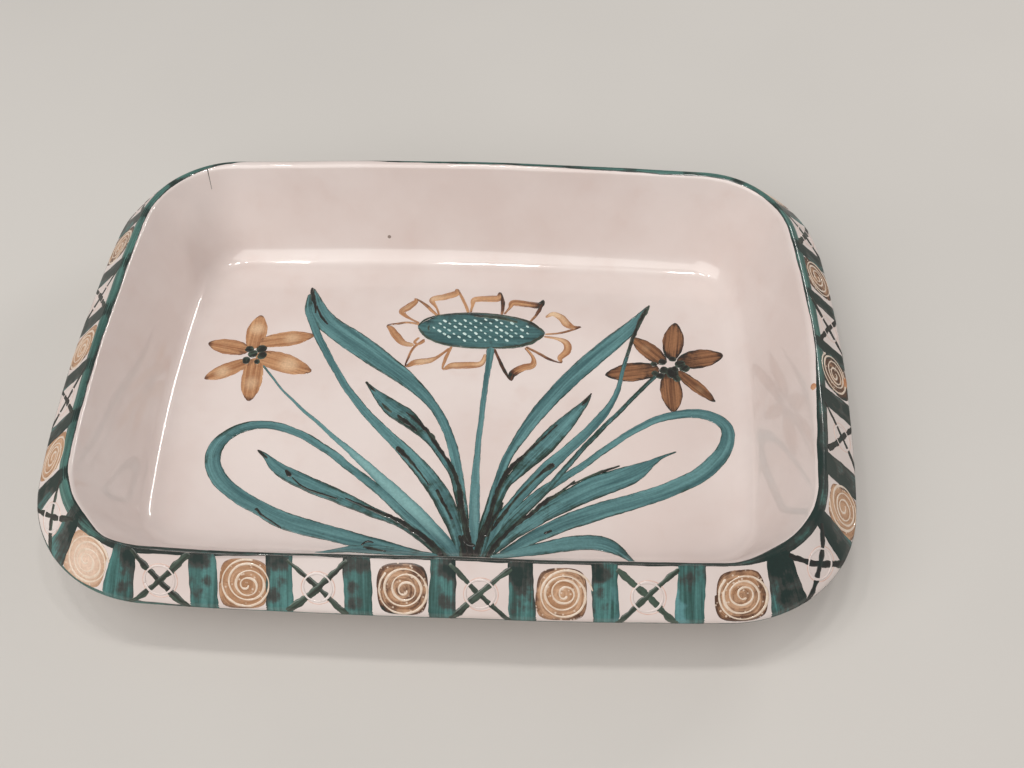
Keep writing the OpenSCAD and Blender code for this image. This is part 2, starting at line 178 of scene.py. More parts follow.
def plan_offset(x, y):
    """Distance of a point outside the lip line, seen from above. Negative inside it."""
    x, y = np.abs(x), np.abs(y)
    to_end = np.hypot(x - END_C[0], y) - END_R
    to_side = np.hypot(x, y - SIDE_C[1]) - SIDE_R
    to_corner = np.hypot(x - CORNER_C[0], y - CORNER_C[1]) - CORNER_R
    in_corner = (np.arctan2(y, x - END_C[0]) > END_ANGLE) & (
        np.arctan2(y - SIDE_C[1], x) < SIDE_ANGLE
    )
    return np.where(in_corner, to_corner, np.maximum(to_end, to_side))


FILLET_GLAZED = FILLET_R - GLAZE
FILLET_TOP = FILLET_C - FILLET_GLAZED * WALL_N


def inner_height(x, y):
    """Height of the glazed floor and of the curve and wall round it."""
    offset = plan_offset(x, y)
    run = np.clip(offset - FILLET_C[0], 0, FILLET_TOP[0] - FILLET_C[0])
    curve_z = FILLET_C[1] - np.sqrt(FILLET_GLAZED**2 - run**2)
    steep = -DOWN_WALL[1] / abs(DOWN_WALL[0])
    return curve_z + np.maximum(offset - FILLET_TOP[0], 0) * steep


def on_floor(x, y, lift):
    return np.stack([x, y, inner_height(x, y) + lift], -1)


def soft_step(x, low, high):
    """0 at low, 1 at high and smooth between them. low may be the larger."""
    x = np.clip((np.asarray(x, float) - low) / (high - low), 0, 1)
    return x * x * (3 - 2 * x)


NARROWER, NARROWER_AT_LEFT = 2.9, 2.0


def handmade(p):
    """Slight unevenness of the whole dish, the same for the body and everything on it.
    Along the front the lip is narrower than elsewhere: its inner side leans outwards."""
    x, y, z = p[:, 0], p[:, 1], p[:, 2]
    up = z / HEIGHT
    front = soft_step(y, -95, -108) * soft_step(np.abs(x + 8), 152, 128)
    inward = soft_step(plan_offset(x, y), 0.8, -2.6)
    at_left = np.exp(-(((x + 100) / 55) ** 2))
    narrower = (NARROWER + NARROWER_AT_LEFT * at_left) * front * inward * up**2
    dx = 0.45 * np.sin(y / 31 + 0.7) * up + 0.12 * np.sin(y / 9 + x / 23) * up
    dy = 0.5 * np.sin(x / 43 + 2.1) * up + 0.12 * np.sin(x / 11 + 0.4) * up - narrower
    dz = 0.22 * (np.sin(x / 47 + 1) + np.sin(y / 39 + 2)) * up
    dz += 0.14 * np.sin(x / 26 + 0.5) * np.sin(y / 21 + 1) * up**0.5
    return p + np.stack([dx, dy, dz], -1)


# ---- meshes ----


def wave(x, seed, length):
    """Smooth noise between about -1 and 1 along x."""
    rng = np.random.RandomState(seed)
    total = np.zeros_like(np.asarray(x, float))
    for k in range(4):
        phase = rng.uniform(0, TURN)
        total += np.sin(np.asarray(x) * TURN * (0.6 + 0.7 * k) / length + phase) / (1 + k)
    return total / 1.6


def grid_faces(rows, columns, closed=False):
    """Quads of a grid of points, counted row by row. If closed, the last row joins the first."""
    i, j = np.meshgrid(np.arange(rows - (not closed)), np.arange(columns - 1), indexing="ij")
    a = i * columns + j
    b = (i + 1) % rows * columns + j
    return np.stack([a, b, b + 1, a + 1], -1).reshape(-1, 4)


class Sheet:
    """Gathers solids into one piece. Points are in millimetres."""

    def __init__(self):
        self.points, self.faces = [], []
        self.brush, self.pool, self.edge = [], [], []
        self.count = 0

    def add(self, points, faces, brush, pool, edge):
        self.points.append(points)
        self.faces.append(faces + self.count)
        self.brush.append(brush)
        self.pool.append(pool)
        self.edge.append(edge)
        self.count += len(points)

    def make(self, name, material, slot, *nodes):
        points = handmade(np.concatenate(self.points)) * MM
        mesh = bpy.data.meshes.new(name)
        mesh.from_pydata(points.tolist(), [], np.concatenate(self.faces).tolist())
        for key, kind, field, values in (
            ("brush", "FLOAT_VECTOR", "vector", self.brush),
            ("pool", "FLOAT", "value", self.pool),
            ("edge", "FLOAT", "value", self.edge),
        ):
            data = np.concatenate(values).astype(np.float32)
            mesh.attributes.new(key, kind, "POINT").data.foreach_set(field, data.ravel())
        finish_piece(name, mesh, material, slot, *nodes)


def finish_piece(name, mesh, material, slot, *nodes):
    """Puts a mesh in the scene as a piece that rides on the dish and stands for CAD nodes."""
    mesh.shade_smooth()
    mesh.materials.append(material)
    piece = bpy.data.objects.new(name, mesh)
    bpy.context.scene.collection.objects.link(piece)
    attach(piece, "root")
    if nodes:
        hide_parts(*nodes)


PAINT_SINK = 0.05  # how far a painted edge dips into the glaze
PAINT_DEPTH = 0.2  # how far the hidden side of the paint lies inside the glaze


def lay(sheet, place, a, b, lift, seed, grain, pool, edge, flip=False, closed=False):
    """Lays a painted patch on a surface. a and b are grids of its points in the surface's own
    measure, grain is how far they lie along and across the brush hairs. The last row of a
    closed patch meets its first one."""
    rows, columns = a.shape
    flat = lambda v: np.broadcast_to(v, (rows, columns)).astype(float).ravel()
    brush = np.stack([flat(v) for v in (*grain, seed)], -1)
    pool, edge = flat(pool), flat(edge)
    border = np.zeros(a.shape, bool)
    border[:, [0, -1]] = True
    if not closed:
        border[[0, -1], :] = True
    a, b, border = a.ravel(), b.ravel(), border.ravel()
    height = np.maximum(lift * (1 - np.clip(edge, 0, 1) ** 6), 0.2 * lift)
    top = place(a, b, np.where(border, -PAINT_SINK, height))
    bottom = place(a, b, np.full(len(a), -PAINT_DEPTH))
    # The patch is a thin closed solid: its top and its bottom share the border points
    inner = ~border
    under = np.arange(len(top))
    under[inner] = len(top) + np.arange(inner.sum())
    faces = grid_faces(rows, columns, closed)
    if flip:
        faces = faces[:, ::-1]
    join = lambda v, w: np.concatenate([v, w[inner]])
    sheet.add(
        join(top, bottom), np.concatenate([faces, under[faces[:, ::-1]]]),
        join(brush, brush), join(pool, pool), join(edge, edge),
    )


def curve(points, step):
    """A smooth line through the points, with a point about every step millimetres."""
    p = np.array(points, float)
    before = np.concatenate([p[:1], p[:-1]])[:-1]
    after = np.concatenate([p[1:], p[-1:]])[1:]
    a, b, c, d = before, p[:-1], p[1:], after
    t = np.linspace(0, 1, 24, endpoint=False)[None, :, None]
    a, b, c, d = (v[:, None, :] for v in (a, b, c, d))
    fine = b + t / 2 * (c - a) + t**2 * (a - 2.5 * b + 2 * c - d / 2) + t**3 / 2 * (
        3 * (b - c) + d - a
    )
    fine = np.concatenate([fine.reshape(-1, p.shape[1]), p[-1:]])
    length = np.concatenate([[0], np.cumsum(np.hypot(*np.diff(fine[:, :2], axis=0).T))])
    along = np.linspace(0, length[-1], max(6, int(length[-1] / step) + 1))
    return along, np.stack([np.interp(along, length, f) for f in fine.T], -1)


def ribbon(sheet, place, points, lift, seed, pool=0.3, step=1.1, columns=9, fray=0.12, flip=False):
    """One brush stroke. Each point is [a, b, width] or [a, b, width, pool]."""
    along, path = curve(points, step)
    run = np.gradient(path[:, :2], axis=0)
    run /= np.maximum(np.linalg.norm(run, axis=1), 1e-9)[:, None]
    side = np.stack([-run[:, 1], run[:, 0]], -1)
    half = np.maximum(path[:, 2], 0.3) / 2
    for end in (along, along[-1] - along):
        near = np.clip(1 - end / np.maximum(half, 0.3), 0, 1)
        half = half * np.sqrt(np.maximum(1 - near**2, 0.01))
    v = np.linspace(-1, 1, columns)
    spread = np.where(v < 0, 1.0, 0.0)
    wobble = [fray * (wave(along, seed * 7 + k, 11) + 0.6 * wave(along, seed * 7 + k + 3, 3.1))
              for k in (0, 1)]
    room = np.minimum(1, half / 1.5)
    reach = half[:, None] + room[:, None] * (
        spread * wobble[0][:, None] + (1 - spread) * wobble[1][:, None]
    )
    across = v * reach
    a = path[:, :1] + across * side[:, :1]
    b = path[:, 1:2] + across * side[:, 1:]
    if path.shape[1] > 3:
        pool = path[:, 3:]
    lay(sheet, place, a, b, lift, seed, (along[:, None], across), pool, np.abs(v), flip)


def blob(sheet, place, centre, radii, lift, seed, pool=0.3, turn=0.0, size=13, fray=0.1,
         power=2.0, flip=False, swirl=False):
    """A rounded patch of paint about a centre: radii are its half sizes, power its squareness."""
    g = np.linspace(-1, 1, size)
    gx, gy = np.meshgrid(g, g, indexing="ij")
    x, y = gx * np.sqrt(1 - gy**2 / 2), gy * np.sqrt(1 - gx**2 / 2)
    r, theta = np.hypot(x, y), np.arctan2(y, x)
    square = (np.abs(np.cos(theta)) ** power + np.abs(np.sin(theta)) ** power) ** (-1 / power)
    rough = 1 + fray * wave(theta, seed, TURN) * r
    u, w = x * square * rough * radii[0], y * square * rough * radii[1]
    c, s = math.cos(turn), math.sin(turn)
    a, b = centre[0] + c * u - s * w, centre[1] + s * u + c * w
    grain = (theta * r * radii[0], r * radii[0]) if swirl else (u, w)
    lay(sheet, place, a, b, lift, seed, grain, pool, r, flip)


# ---- materials ----

GLAZE_ROUGHNESS, COAT_ROUGHNESS, CLAY_ROUGHNESS = 0.3, 0.05, 0.9
# How many grains of each noise and pattern lie along a metre
SPECKLES, CLOUDS, DIMPLES, DOTS, PINHOLE_CELLS = 900.0, 160.0, 70.0, 420.0, 46.0
WASH, PATCHES, WAVES, ORANGE_PEEL = 14.0, 55.0, 34.0, 260.0


class Shader:
    """A node material with short calls for the nodes that it uses."""

    def __init__(self, name, **constants):
        self.material = bpy.data.materials.new(name)
        self.material.use_nodes = True
        self.tree = self.material.node_tree
        self.out = self.tree.nodes["Principled BSDF"]
        for key, value in constants.items():
            self.out.inputs[key.replace("_", " ")].default_value = value

    def node(self, kind, inputs=(), **settings):
        n = self.tree.nodes.new("ShaderNode" + kind)
        for key, value in settings.items():
            setattr(n, key, value)
        for key, value in dict(inputs).items():
            if isinstance(value, bpy.types.NodeSocket):
                self.tree.links.new(value, n.inputs[key])
            else:
                n.inputs[key].default_value = value
        return n

    def math(self, operation, a, b=0.0, c=0.0):
        return self.node("Math", {0: a, 1: b, 2: c}, operation=operation).outputs[0]

    def mix(self, factor, a, b, blend="MIX"):
        n = self.node("Mix", {0: factor, 6: a, 7: b}, data_type="RGBA", blend_type=blend)
        return n.outputs[2]

    def attribute(self, name):
        return self.node("Attribute", attribute_name=name)

    def place(self):
        return self.node("TexCoord").outputs["Object"]

    def noise(self, vector, scale, detail=3.0, rough=0.55):
        n = self.node(
            "TexNoise", {"Vector": vector, "Scale": scale, "Detail": detail, "Roughness": rough}
        )
        return n.outputs["Fac"]

    def step(self, value, low, high, to_low=0.0, to_high=1.0):
        n = self.node(
            "MapRange",
            {"Value": value, "From Min": low, "From Max": high,
             "To Min": to_low, "To Max": to_high},
            interpolation_type="SMOOTHSTEP",
        )
        return n.outputs["Result"]

    def stir(self, value, noise, amount):
        """The value moved up and down by a noise about its middle."""
        swing = self.math("MULTIPLY", self.math("SUBTRACT", noise, 0.5), amount)
        return self.math("ADD", value, swing)

    def combine(self, x, y, z):
        return self.node("CombineXYZ", {0: x, 1: y, 2: z}).outputs[0]

    def set(self, key, socket):
        self.tree.links.new(socket, self.out.inputs[key])

    def gloss(self, fade=(0.5, 0.95)):
        """A clear coat that reflects less of the bright room where it is seen edge-on."""
        facing = self.node("LayerWeight", {"Blend": 0.5}).outputs["Facing"]
        self.set("Coat Weight", self.step(facing, *fade, 1.0, 0.08))
        self.set("Specular IOR Level", self.step(facing, *fade, 0.4, 0.05))
        self.out.inputs["Roughness"].default_value = GLAZE_ROUGHNESS
        self.out.inputs["Coat Roughness"].default_value = COAT_ROUGHNESS

    def bump(self, height, distance, strength=1.0, under=None):
        inputs = {"Height": height, "Distance": distance, "Strength": strength}
        if under is not None:
            inputs["Normal"] = under
        return self.node("Bump", inputs).outputs["Normal"]


def rgb(r, g, b):
    """Linear colour from display values of 0 to 255."""
    return (*(((v / 255 + 0.055) / 1.055) ** 2.4 if v > 10 else v / 3294 for v in (r, g, b)), 1.0)


DEEPEST = rgb(14, 40, 35)  # where the paint pools most
# Painted highlight: the pale colour of the glints of light dotted over the discs.
PAINTED_GLINT = rgb(226, 204, 184)
PINHOLE = rgb(104, 84, 70)


def brush_material(name, light, thin, full, pooled, streak_gap=0.9, outline=0.4, glints=0.0):
    """Brushed colour under glaze: streaks along the stroke, pools and a darker outline. If its last
    value is set, pale dots are painted over it as painted highlights: glints of light on the glaze.
    The pool value makes it lighter below 0 and darker towards 1."""
    s = Shader(name)
    s.gloss(fade=(0.3, 0.7))
    brush = s.node("SeparateXYZ", {0: s.attribute("brush").outputs["Vector"]})
    along, across, seed = brush.outputs
    pool = s.attribute("pool").outputs["Fac"]
    edge = s.attribute("edge").outputs["Fac"]
    place = s.place()
    lane = s.math("MULTIPLY", across, 1 / streak_gap)
    offset = s.math("MULTIPLY", seed, 7.31)
    fine = s.noise(s.combine(s.math("MULTIPLY", along, 0.035), lane, offset), 1.0, 4.0, 0.65)
    broad = s.noise(
        s.combine(s.math("MULTIPLY", along, 0.02), s.math("MULTIPLY", lane, 0.3), offset), 1.0, 2.0
    )
    load = s.math("ADD", s.math("MULTIPLY", fine, 0.6), s.math("MULTIPLY", broad, 0.6))
    colour = s.mix(s.step(load, 0.4, 0.78), thin, full)
    pale = s.math("ADD", pool, s.math("MULTIPLY", s.math("POWER", edge, 2.0), 0.3))
    colour = s.mix(s.step(pale, 0.05, -0.4), colour, light)
    speckle = s.noise(place, SPECKLES, 2.0, 0.6)
    cloud = s.noise(place, CLOUDS, 4.0, 0.65)
    rim = s.math("MULTIPLY", s.math("POWER", edge, 4.0), outline)
    dark = s.stir(s.stir(s.math("ADD", pool, rim), cloud, 1.3), fine, 0.9)
    colour = s.mix(s.step(dark, 0.3, 0.85), colour, pooled)
    colour = s.mix(s.step(dark, 0.8, 1.15), colour, DEEPEST)
    grain = s.step(speckle, 0.3, 0.7, 0.9, 1.08)
    colour = s.mix(1.0, colour, s.combine(grain, grain, grain), "MULTIPLY")
    # Painted highlight: pale dots over the paint stand for glints of light on the glaze of the
    # discs.
    if glints:
        dots = s.node("TexVoronoi", {"Vector": place, "Scale": DOTS, "Randomness": 1.0})
        glint = s.step(dots.outputs["Distance"], 0.26, 0.12, 0.0, glints)
        colour = s.mix(glint, colour, PAINTED_GLINT)
    s.set("Base Color", colour)
    ridge = s.bump(fine, 0.00005, 0.5)
    s.set("Normal", s.bump(s.noise(place, DIMPLES, 2.0), 0.00025, 0.4, ridge))
    return s.material


def glaze_material():
    """Warm white tin glaze: faint clouds, pinholes, a wavy gloss, and bare clay underneath."""
    s = Shader("white_glaze")
    s.gloss()
    place = s.place()
    bare = s.attribute("pool").outputs["Fac"]
    wash = s.noise(place, WASH, 4.0, 0.6)
    patch = s.noise(place, PATCHES, 3.0, 0.6)
    colour = s.mix(s.step(wash, 0.35, 0.68), rgb(229, 217, 213), rgb(222, 207, 202))
    colour = s.mix(s.step(patch, 0.55, 0.8, 0.0, 0.35), colour, rgb(219, 199, 192))
    cells = s.node("TexVoronoi", {"Vector": place, "Scale": PINHOLE_CELLS, "Randomness": 1.0})
    pick = s.node("SeparateColor", {0: cells.outputs["Color"]}).outputs[0]
    size = s.step(pick, 0.72, 1.0, 0.0, 0.045)
    hole = s.math("LESS_THAN", cells.outputs["Distance"], size)
    colour = s.mix(s.math("MULTIPLY", hole, 0.75), colour, PINHOLE)
    clay_grain = s.noise(place, 420.0, 4.0, 0.65)
    clay = s.mix(s.step(clay_grain, 0.3, 0.7), rgb(178, 118, 84), rgb(205, 150, 112))
    mask = s.step(s.stir(bare, patch, 0.5), 0.45, 0.52)
    s.set("Base Color", s.mix(mask, colour, clay))
    s.set("Roughness", s.step(mask, 0.0, 1.0, GLAZE_ROUGHNESS, CLAY_ROUGHNESS))
    wavy = s.bump(s.noise(place, WAVES, 2.0, 0.5), 0.0009, 0.6)
    peel = s.bump(s.noise(place, ORANGE_PEEL, 2.0, 0.5), 0.00004, 0.5, wavy)
    s.set("Normal", s.bump(s.math("MULTIPLY", hole, -1.0), 0.0002, 0.5, peel))
    return s.material


def clay_material():
    """Bare fired clay, worn pale where it stands on the table."""
    s = Shader("bare_clay", Roughness=CLAY_ROUGHNESS, Specular_IOR_Level=0.3)
    place = s.place()
    grain = s.noise(place, 380.0, 5.0, 0.65)
    cloud = s.noise(place, 40.0, 3.0, 0.6)
    colour = s.mix(s.step(grain, 0.3, 0.72), rgb(168, 108, 76), rgb(206, 152, 114))
    colour = s.mix(s.step(cloud, 0.5, 0.75, 0.0, 0.6), colour, rgb(222, 186, 152))
    s.set("Base Color", colour)
    s.set("Normal", s.bump(grain, 0.0003, 0.6))
    return s.material


def line_material(name, light, dark):
    """A line scratched or drawn in the glaze."""
    s = Shader(name)
    s.gloss()
    place = s.place()
    s.set("Base Color", s.mix(s.step(s.noise(place, 500.0), 0.35, 0.7), light, dark))
    s.set("Normal", s.bump(s.noise(place, 300.0), 0.00005, 0.5))
    return s.material


TEAL = brush_material(
    "teal_paint", rgb(134, 178, 178), rgb(100, 146, 148), rgb(54, 94, 98), rgb(32, 56, 46), 0.9, 0.8
)
BAND = brush_material(
    "band_paint", rgb(134, 178, 170), rgb(84, 128, 120), rgb(42, 78, 72), rgb(42, 48, 44), 0.7, 0.5
)
BAR_TEAL = brush_material(
    "bar_paint", rgb(104, 158, 164), rgb(82, 134, 131), rgb(34, 71, 65), rgb(57, 60, 56), 1.2, 0.3
)
DARK = brush_material(
    "dark_paint", rgb(84, 108, 100), rgb(74, 94, 80), rgb(40, 50, 40), rgb(26, 20, 16), 0.8, -0.6
)
SEED = brush_material(
    "seed_paint", rgb(120, 164, 164), rgb(78, 120, 122), rgb(44, 80, 82), rgb(26, 40, 40), 1.2, 0.5
)
TAN = brush_material(
    "tan_paint", rgb(230, 198, 162), rgb(204, 156, 114), rgb(152, 100, 64), rgb(84, 48, 32), 0.6
)
# The discs' paint carries painted highlights: pale glints of light dotted over it (0.85).
DISC = brush_material(
    "disc_paint", rgb(232, 204, 184), rgb(212, 172, 140), rgb(166, 120, 84), rgb(84, 52, 34),
    0.9, 0.5, 0.85,
)
BROWN = brush_material(
    "brown_paint", rgb(220, 184, 142), rgb(160, 112, 76), rgb(98, 60, 36), rgb(46, 28, 20),
    0.45, 0.8,
)
WHITE = glaze_material()
CLAY_BARE = clay_material()
SCRATCH = line_material("scratched_line", rgb(232, 214, 196), rgb(222, 198, 176))
PINK = line_material("pink_line", rgb(226, 196, 184), rgb(216, 178, 164))
DAB = line_material("white_dab", rgb(214, 234, 230), rgb(172, 204, 200))

# ---- the body: clay and glaze as one closed surface ----

AROUND = 520  # points in each ring round the dish
ring_at = np.arange(AROUND) * ROUND / AROUND
ring_points, ring_normals = station(ring_at)


def ring_of(section_point, share=1.0, waver=0.0):
    """The ring of points at a section's [offset, height], drawn in to a share of its size."""
    offset = section_point[0] + np.broadcast_to(waver, AROUND)
    ring = (ring_points + offset[:, None] * ring_normals) * share
    return np.concatenate([ring, np.full((AROUND, 1), section_point[1])], 1)


def ring_faces(rings, closed=False):
    """Quads between rings. If closed, the last ring joins the first."""
    faces = grid_faces(rings, AROUND + 1, closed)
    return faces // (AROUND + 1) * AROUND + faces % (AROUND + 1) % AROUND


def arc(centre, radius, start, stop, steps):
    return centre + radius * direction(np.linspace(start, stop, steps))


def line(p, q, steps):
    """Points between p and q, without the two ends."""
    return p + np.linspace(0, 1, steps)[1:-1, None] * (q - p)


def meet(n, k, m, j):
    """The point whose distances along the directions n and m are k and j."""
    return np.array([k * m[1] - j * n[1], j * n[0] - k * m[0]]) / (n[0] * m[1] - n[1] * m[0])


BARE_POINTS = 4  # points of the section where the glaze has stopped
back_n = -WALL_N
crotch_c = meet(
    UNDER_N, UNDER_N @ LIP_C + LIP_R + CROTCH_R,
    back_n, back_n @ FILLET_C + FILLET_R + CLAY + CROTCH_R,
)
crotch_glazed = CROTCH_R - GLAZE
back_radius = FILLET_R + CLAY + GLAZE
wall_top = LIP_C + LIP_GLAZED * WALL_N
inside = np.concatenate([
    arc(FILLET_C, FILLET_GLAZED, TURN * 0.75, WALL_ANGLE + math.pi, 12),
    line(FILLET_TOP, wall_top, 18),
    arc(LIP_C, LIP_GLAZED, WALL_ANGLE, RIM_ANGLE, 14),
    line(over_rim(0.0), over_rim(RIM_FACE), 18),
])
outside = np.concatenate([
    arc(EDGE_C, EDGE_GLAZED, RIM_ANGLE, UNDER_ANGLE, 16),
    line(EDGE_C + EDGE_GLAZED * UNDER_N, crotch_c - crotch_glazed * UNDER_N, 10),
    arc(crotch_c, crotch_glazed, UNDER_ANGLE + math.pi, WALL_ANGLE, 8),
    line(crotch_c + crotch_glazed * WALL_N, FILLET_C + back_radius * back_n, 12),
    arc(FILLET_C, back_radius, WALL_ANGLE - math.pi, math.radians(-76), 10),
    arc(FILLET_C, back_radius - GLAZE, math.radians(-77), math.radians(-90), BARE_POINTS),
])
# Rings that fill the flat floor, as shares of the ring where its curve begins
shares = [0.03, 0.08, 0.14, 0.21, 0.29, 0.37, 0.45, 0.53, 0.61, 0.69, 0.77, 0.84, 0.9, 0.95, 0.98]
rings = [ring_of(inside[0], share) for share in shares]
rings += [ring_of(q) for q in inside] + [ring_of(q) for q in outside]
bare_ring = len(rings) - BARE_POINTS
rings += [ring_of(outside[-1], share) for share in shares[::-1]]
body_points = np.concatenate(rings)
bare = np.repeat(np.arange(len(rings)) >= bare_ring, AROUND).astype(np.float32)
last = len(body_points) - AROUND
caps = [list(range(AROUND)), list(range(last, len(body_points)))[::-1]]
body_mesh = bpy.data.meshes.new("dish_body")
body_mesh.from_pydata(
    (handmade(body_points) * MM).tolist(), [], ring_faces(len(rings)).tolist() + caps
)
body_mesh.attributes.new("pool", "FLOAT", "POINT").data.foreach_set("value", bare)
finish_piece(
    "dish_body", body_mesh, WHITE, "white_glaze",
    "clay_floor", "clay_wall", "clay_rim", "inner_glaze", "rim_glaze", "under_glaze",
)

# ---- the foot: a bare clay ring with softened, slightly worn edges ----

FOOT_ROUNDING = 0.4  # below 1 squares the section
FOOT_HALF_HEIGHT = 1.05  # the foot reaches 0.1 mm into the clay above it
foot_mid, foot_half = (FOOT_OUTER + FOOT_INNER) / 2, (FOOT_OUTER - FOOT_INNER) / 2


def squared(x):
    return np.sign(x) * np.abs(x) ** FOOT_ROUNDING


foot_angle = np.arange(20) * TURN / 20
foot_section = np.stack([
    foot_mid + foot_half * squared(np.cos(foot_angle)),
    FOOT_HALF_HEIGHT + FOOT_HALF_HEIGHT * squared(np.sin(foot_angle)),
], -1)
foot_points = np.concatenate([
    ring_of(q, waver=0.15 * wave(ring_at, 5, 40)) for q in foot_section
])
foot = Sheet()
zero = np.zeros(len(foot_points))
foot.add(
    foot_points, ring_faces(len(foot_section), closed=True)[:, ::-1],
    np.zeros((len(foot_points), 3)), zero, zero,
)
foot.make("foot", CLAY_BARE, "earthenware", "foot_ring")

# ---- the frieze: disc, bar, cross, bar, as the painter spaced them round the rim ----

# Distances in mm round the rim of a disc, a bar, a cross and a bar, then the two bars' widths
REPEATS = [
    (52, 66, 81, 97, 11, 11), (114, 128, 143, 159, 12, 11), (176, 190, 205, 221, 11, 12),
    (238, 252, 267, 283, 12, 12), (301, 315, 331, 346, 11, 12), (364, 378, 394, 409, 12, 11),
    (427, 441, 456, 472, 11, 12), (489, 507.5, 523, 538.5, 11, 11.5), (556, 572, 586, 602, 10, 11),
    (618, 634.5, 648.5, 661, 11.5, 11.5), (677, 693.5, 710, 728.5, 13, 13),
    (747, 760.5, 776.5, 793.5, 12.5, 13), (813, 829, 844.5, 861.5, 12, 11.5),
    (879, 896, 913.5, 931.5, 12, 13), (953, 971.5, 990, 1004.5, 15, 11),
    (1020, 1036, 1057, 1074, 14, 12), (1092, 1104.5, 1120, 1135, 9, 9),
]


def darkness(s):
    """How dark the paint is round the rim: pale along the front, dark at both ends. The dark ends
    are partly the paint's own deeper tone and partly painted shade, for the ends of the dish that
    lie in shadow.
    """
    at = [0, 90, 200, 350, 480, 560, 655, 690, 730, 845, 861, 880, 935, 975, 1100]
    dark = [0.8, 0.6, 0.45, 0.45, 0.6, 0.75, 0.6, 0.4, 0.3, 0.3, 0.48, 0.27, 0.12, 0.75, 0.8]
    return float(np.interp(s % ROUND, at, dark))


# The lip's line: distances round the rim, and how far down the rim its two edges lie there
BAND_AT = [0, 40, 110, 170, 200, 250, 318, 335, 390, 402, 440, 480, 550, 600, 650, 690, 735,
           770, 850, 950, 985, 1010, 1045, 1080, 1101]
BAND_IN = [-2.6, -3.0, -4.2, -4.6, -3.8, -3.2, -2.4, 0.1, 0.1, -3.0, -4.6, -4.3, -5.0, -3.8, -3.8,
           -4.4, -5.2, -5.4, -5.4, -5.2, -4.8, -4.4, -4.8, -3.2, -2.6]
BAND_OUT = [4.4, 4.2, 3.2, 2.4, 1.8, 1.6, 1.6, 1.6, 1.6, 2.0, 2.4, 3.0, 2.4, 3.2, 3.4,
            3.6, 2.4, 0.6, 0.5, 0.2, 1.2, 1.6, 1.8, 3.6, 4.4]


def bump_at(x, centre, width):
    return np.exp(-(((x - centre) / width) ** 2))


def band(sheet, low, high, pool, lift, seed, rows=13, spacing=1.2):
    """A painted line right round the rim. low, high and pool are functions: its edges down
    the rim at each distance round it, and its darkness."""
    count = int(ROUND / spacing)
    s = np.arange(count) * ROUND / count
    v = np.linspace(0, 1, rows)
    low, high = low(s), high(s)
    t = low[:, None] + v * (high - low)[:, None]
    s = np.broadcast_to(s[:, None], t.shape)
    dark = pool(s, t, low[:, None])
    lay(sheet, on_rim, s, t, lift, seed, (s, t), dark, np.abs(2 * v - 1), True, closed=True)


LIP_LIFT, LOWER_LIFT = 0.07, 0.06  # how far the two lines stand over the glaze
LOWER_END = 28.5  # how far down the rim the lower line ends
bar_places = [(r[1], r[4]) for r in REPEATS] + [(r[3], r[5]) for r in REPEATS]


def band_pool(s, t, low):
    """The lip's line is dark along its inner edge and where the bars run up over it."""
    dark = 0.45 * bump_at(t, low + 0.2, 0.9)
    for centre, width in bar_places:
        gap = (s - centre + ROUND / 2) % ROUND - ROUND / 2
        # The bars over the line are darker at the ends of the dish, partly with painted shade.
        dark = dark + (0.2 + 0.45 * darkness(centre)) * bump_at(gap, 0, 0.55 * width)
    along_front = np.interp(s, [640, 690, 960, 1060, 1095], [0, 0.62, 0.6, 0.55, 0.1])
    return 0.12 + dark + along_front


lip = Sheet()
band(
    lip,
    lambda s: np.interp(s, BAND_AT, BAND_IN) + 0.25 * wave(s, 11, 47) + 0.08 * wave(s, 12, 9),
    lambda s: np.interp(s, BAND_AT, BAND_OUT) + 0.25 * wave(s, 13, 41) + 0.1 * wave(s, 14, 8),
    band_pool, LIP_LIFT, 2,
)
lip.make("lip_band", BAND, "teal_paint", "rim_band")

lower = Sheet()
band(
    lower,
    lambda s: np.interp(s, [0, 620, 690, 740, 980, 1020, 1101], [24, 23, 23, 25.6, 25.8, 24, 24])
    + 0.3 * wave(s, 15, 19),
    lambda s: LOWER_END + 0.2 * wave(s, 16, 17),
    lambda s, t, low: 0.35 + 0.35 * bump_at(t, LOWER_END, 2.0), LOWER_LIFT, 3, rows=9,
)
lower.make("lower_edge_line", BAND, "teal_paint", "edge_line")

bars, crosses, discs, spirals, ring_scratches, rings_pink = (Sheet() for _ in range(6))
# Distances down the rim, sizes, and how far each colour stands over the glaze, all in mm
BAR_END, CROSS_TOP, CROSS_END, SPIRAL_TOP, SPIRAL_END = 27.0, 1.0, 26.5, 1.4, 25.0
CROSS_MIDDLE, CROSS_REACH, RING_R, PINK_GAP = 13.8, 13.3, 6.2, 1.0
DISC_MIDDLE, DISC_SIZE, SPIRAL_R = 13.4, (11.0, 11.9), 9.8
PINK_LIFT, DISC_LIFT, BAR_LIFT, CROSS_LIFT = 0.07, 0.08, 0.1, 0.12
SPIRAL_LIFT, SCRATCH_LIFT = 0.17, 0.19


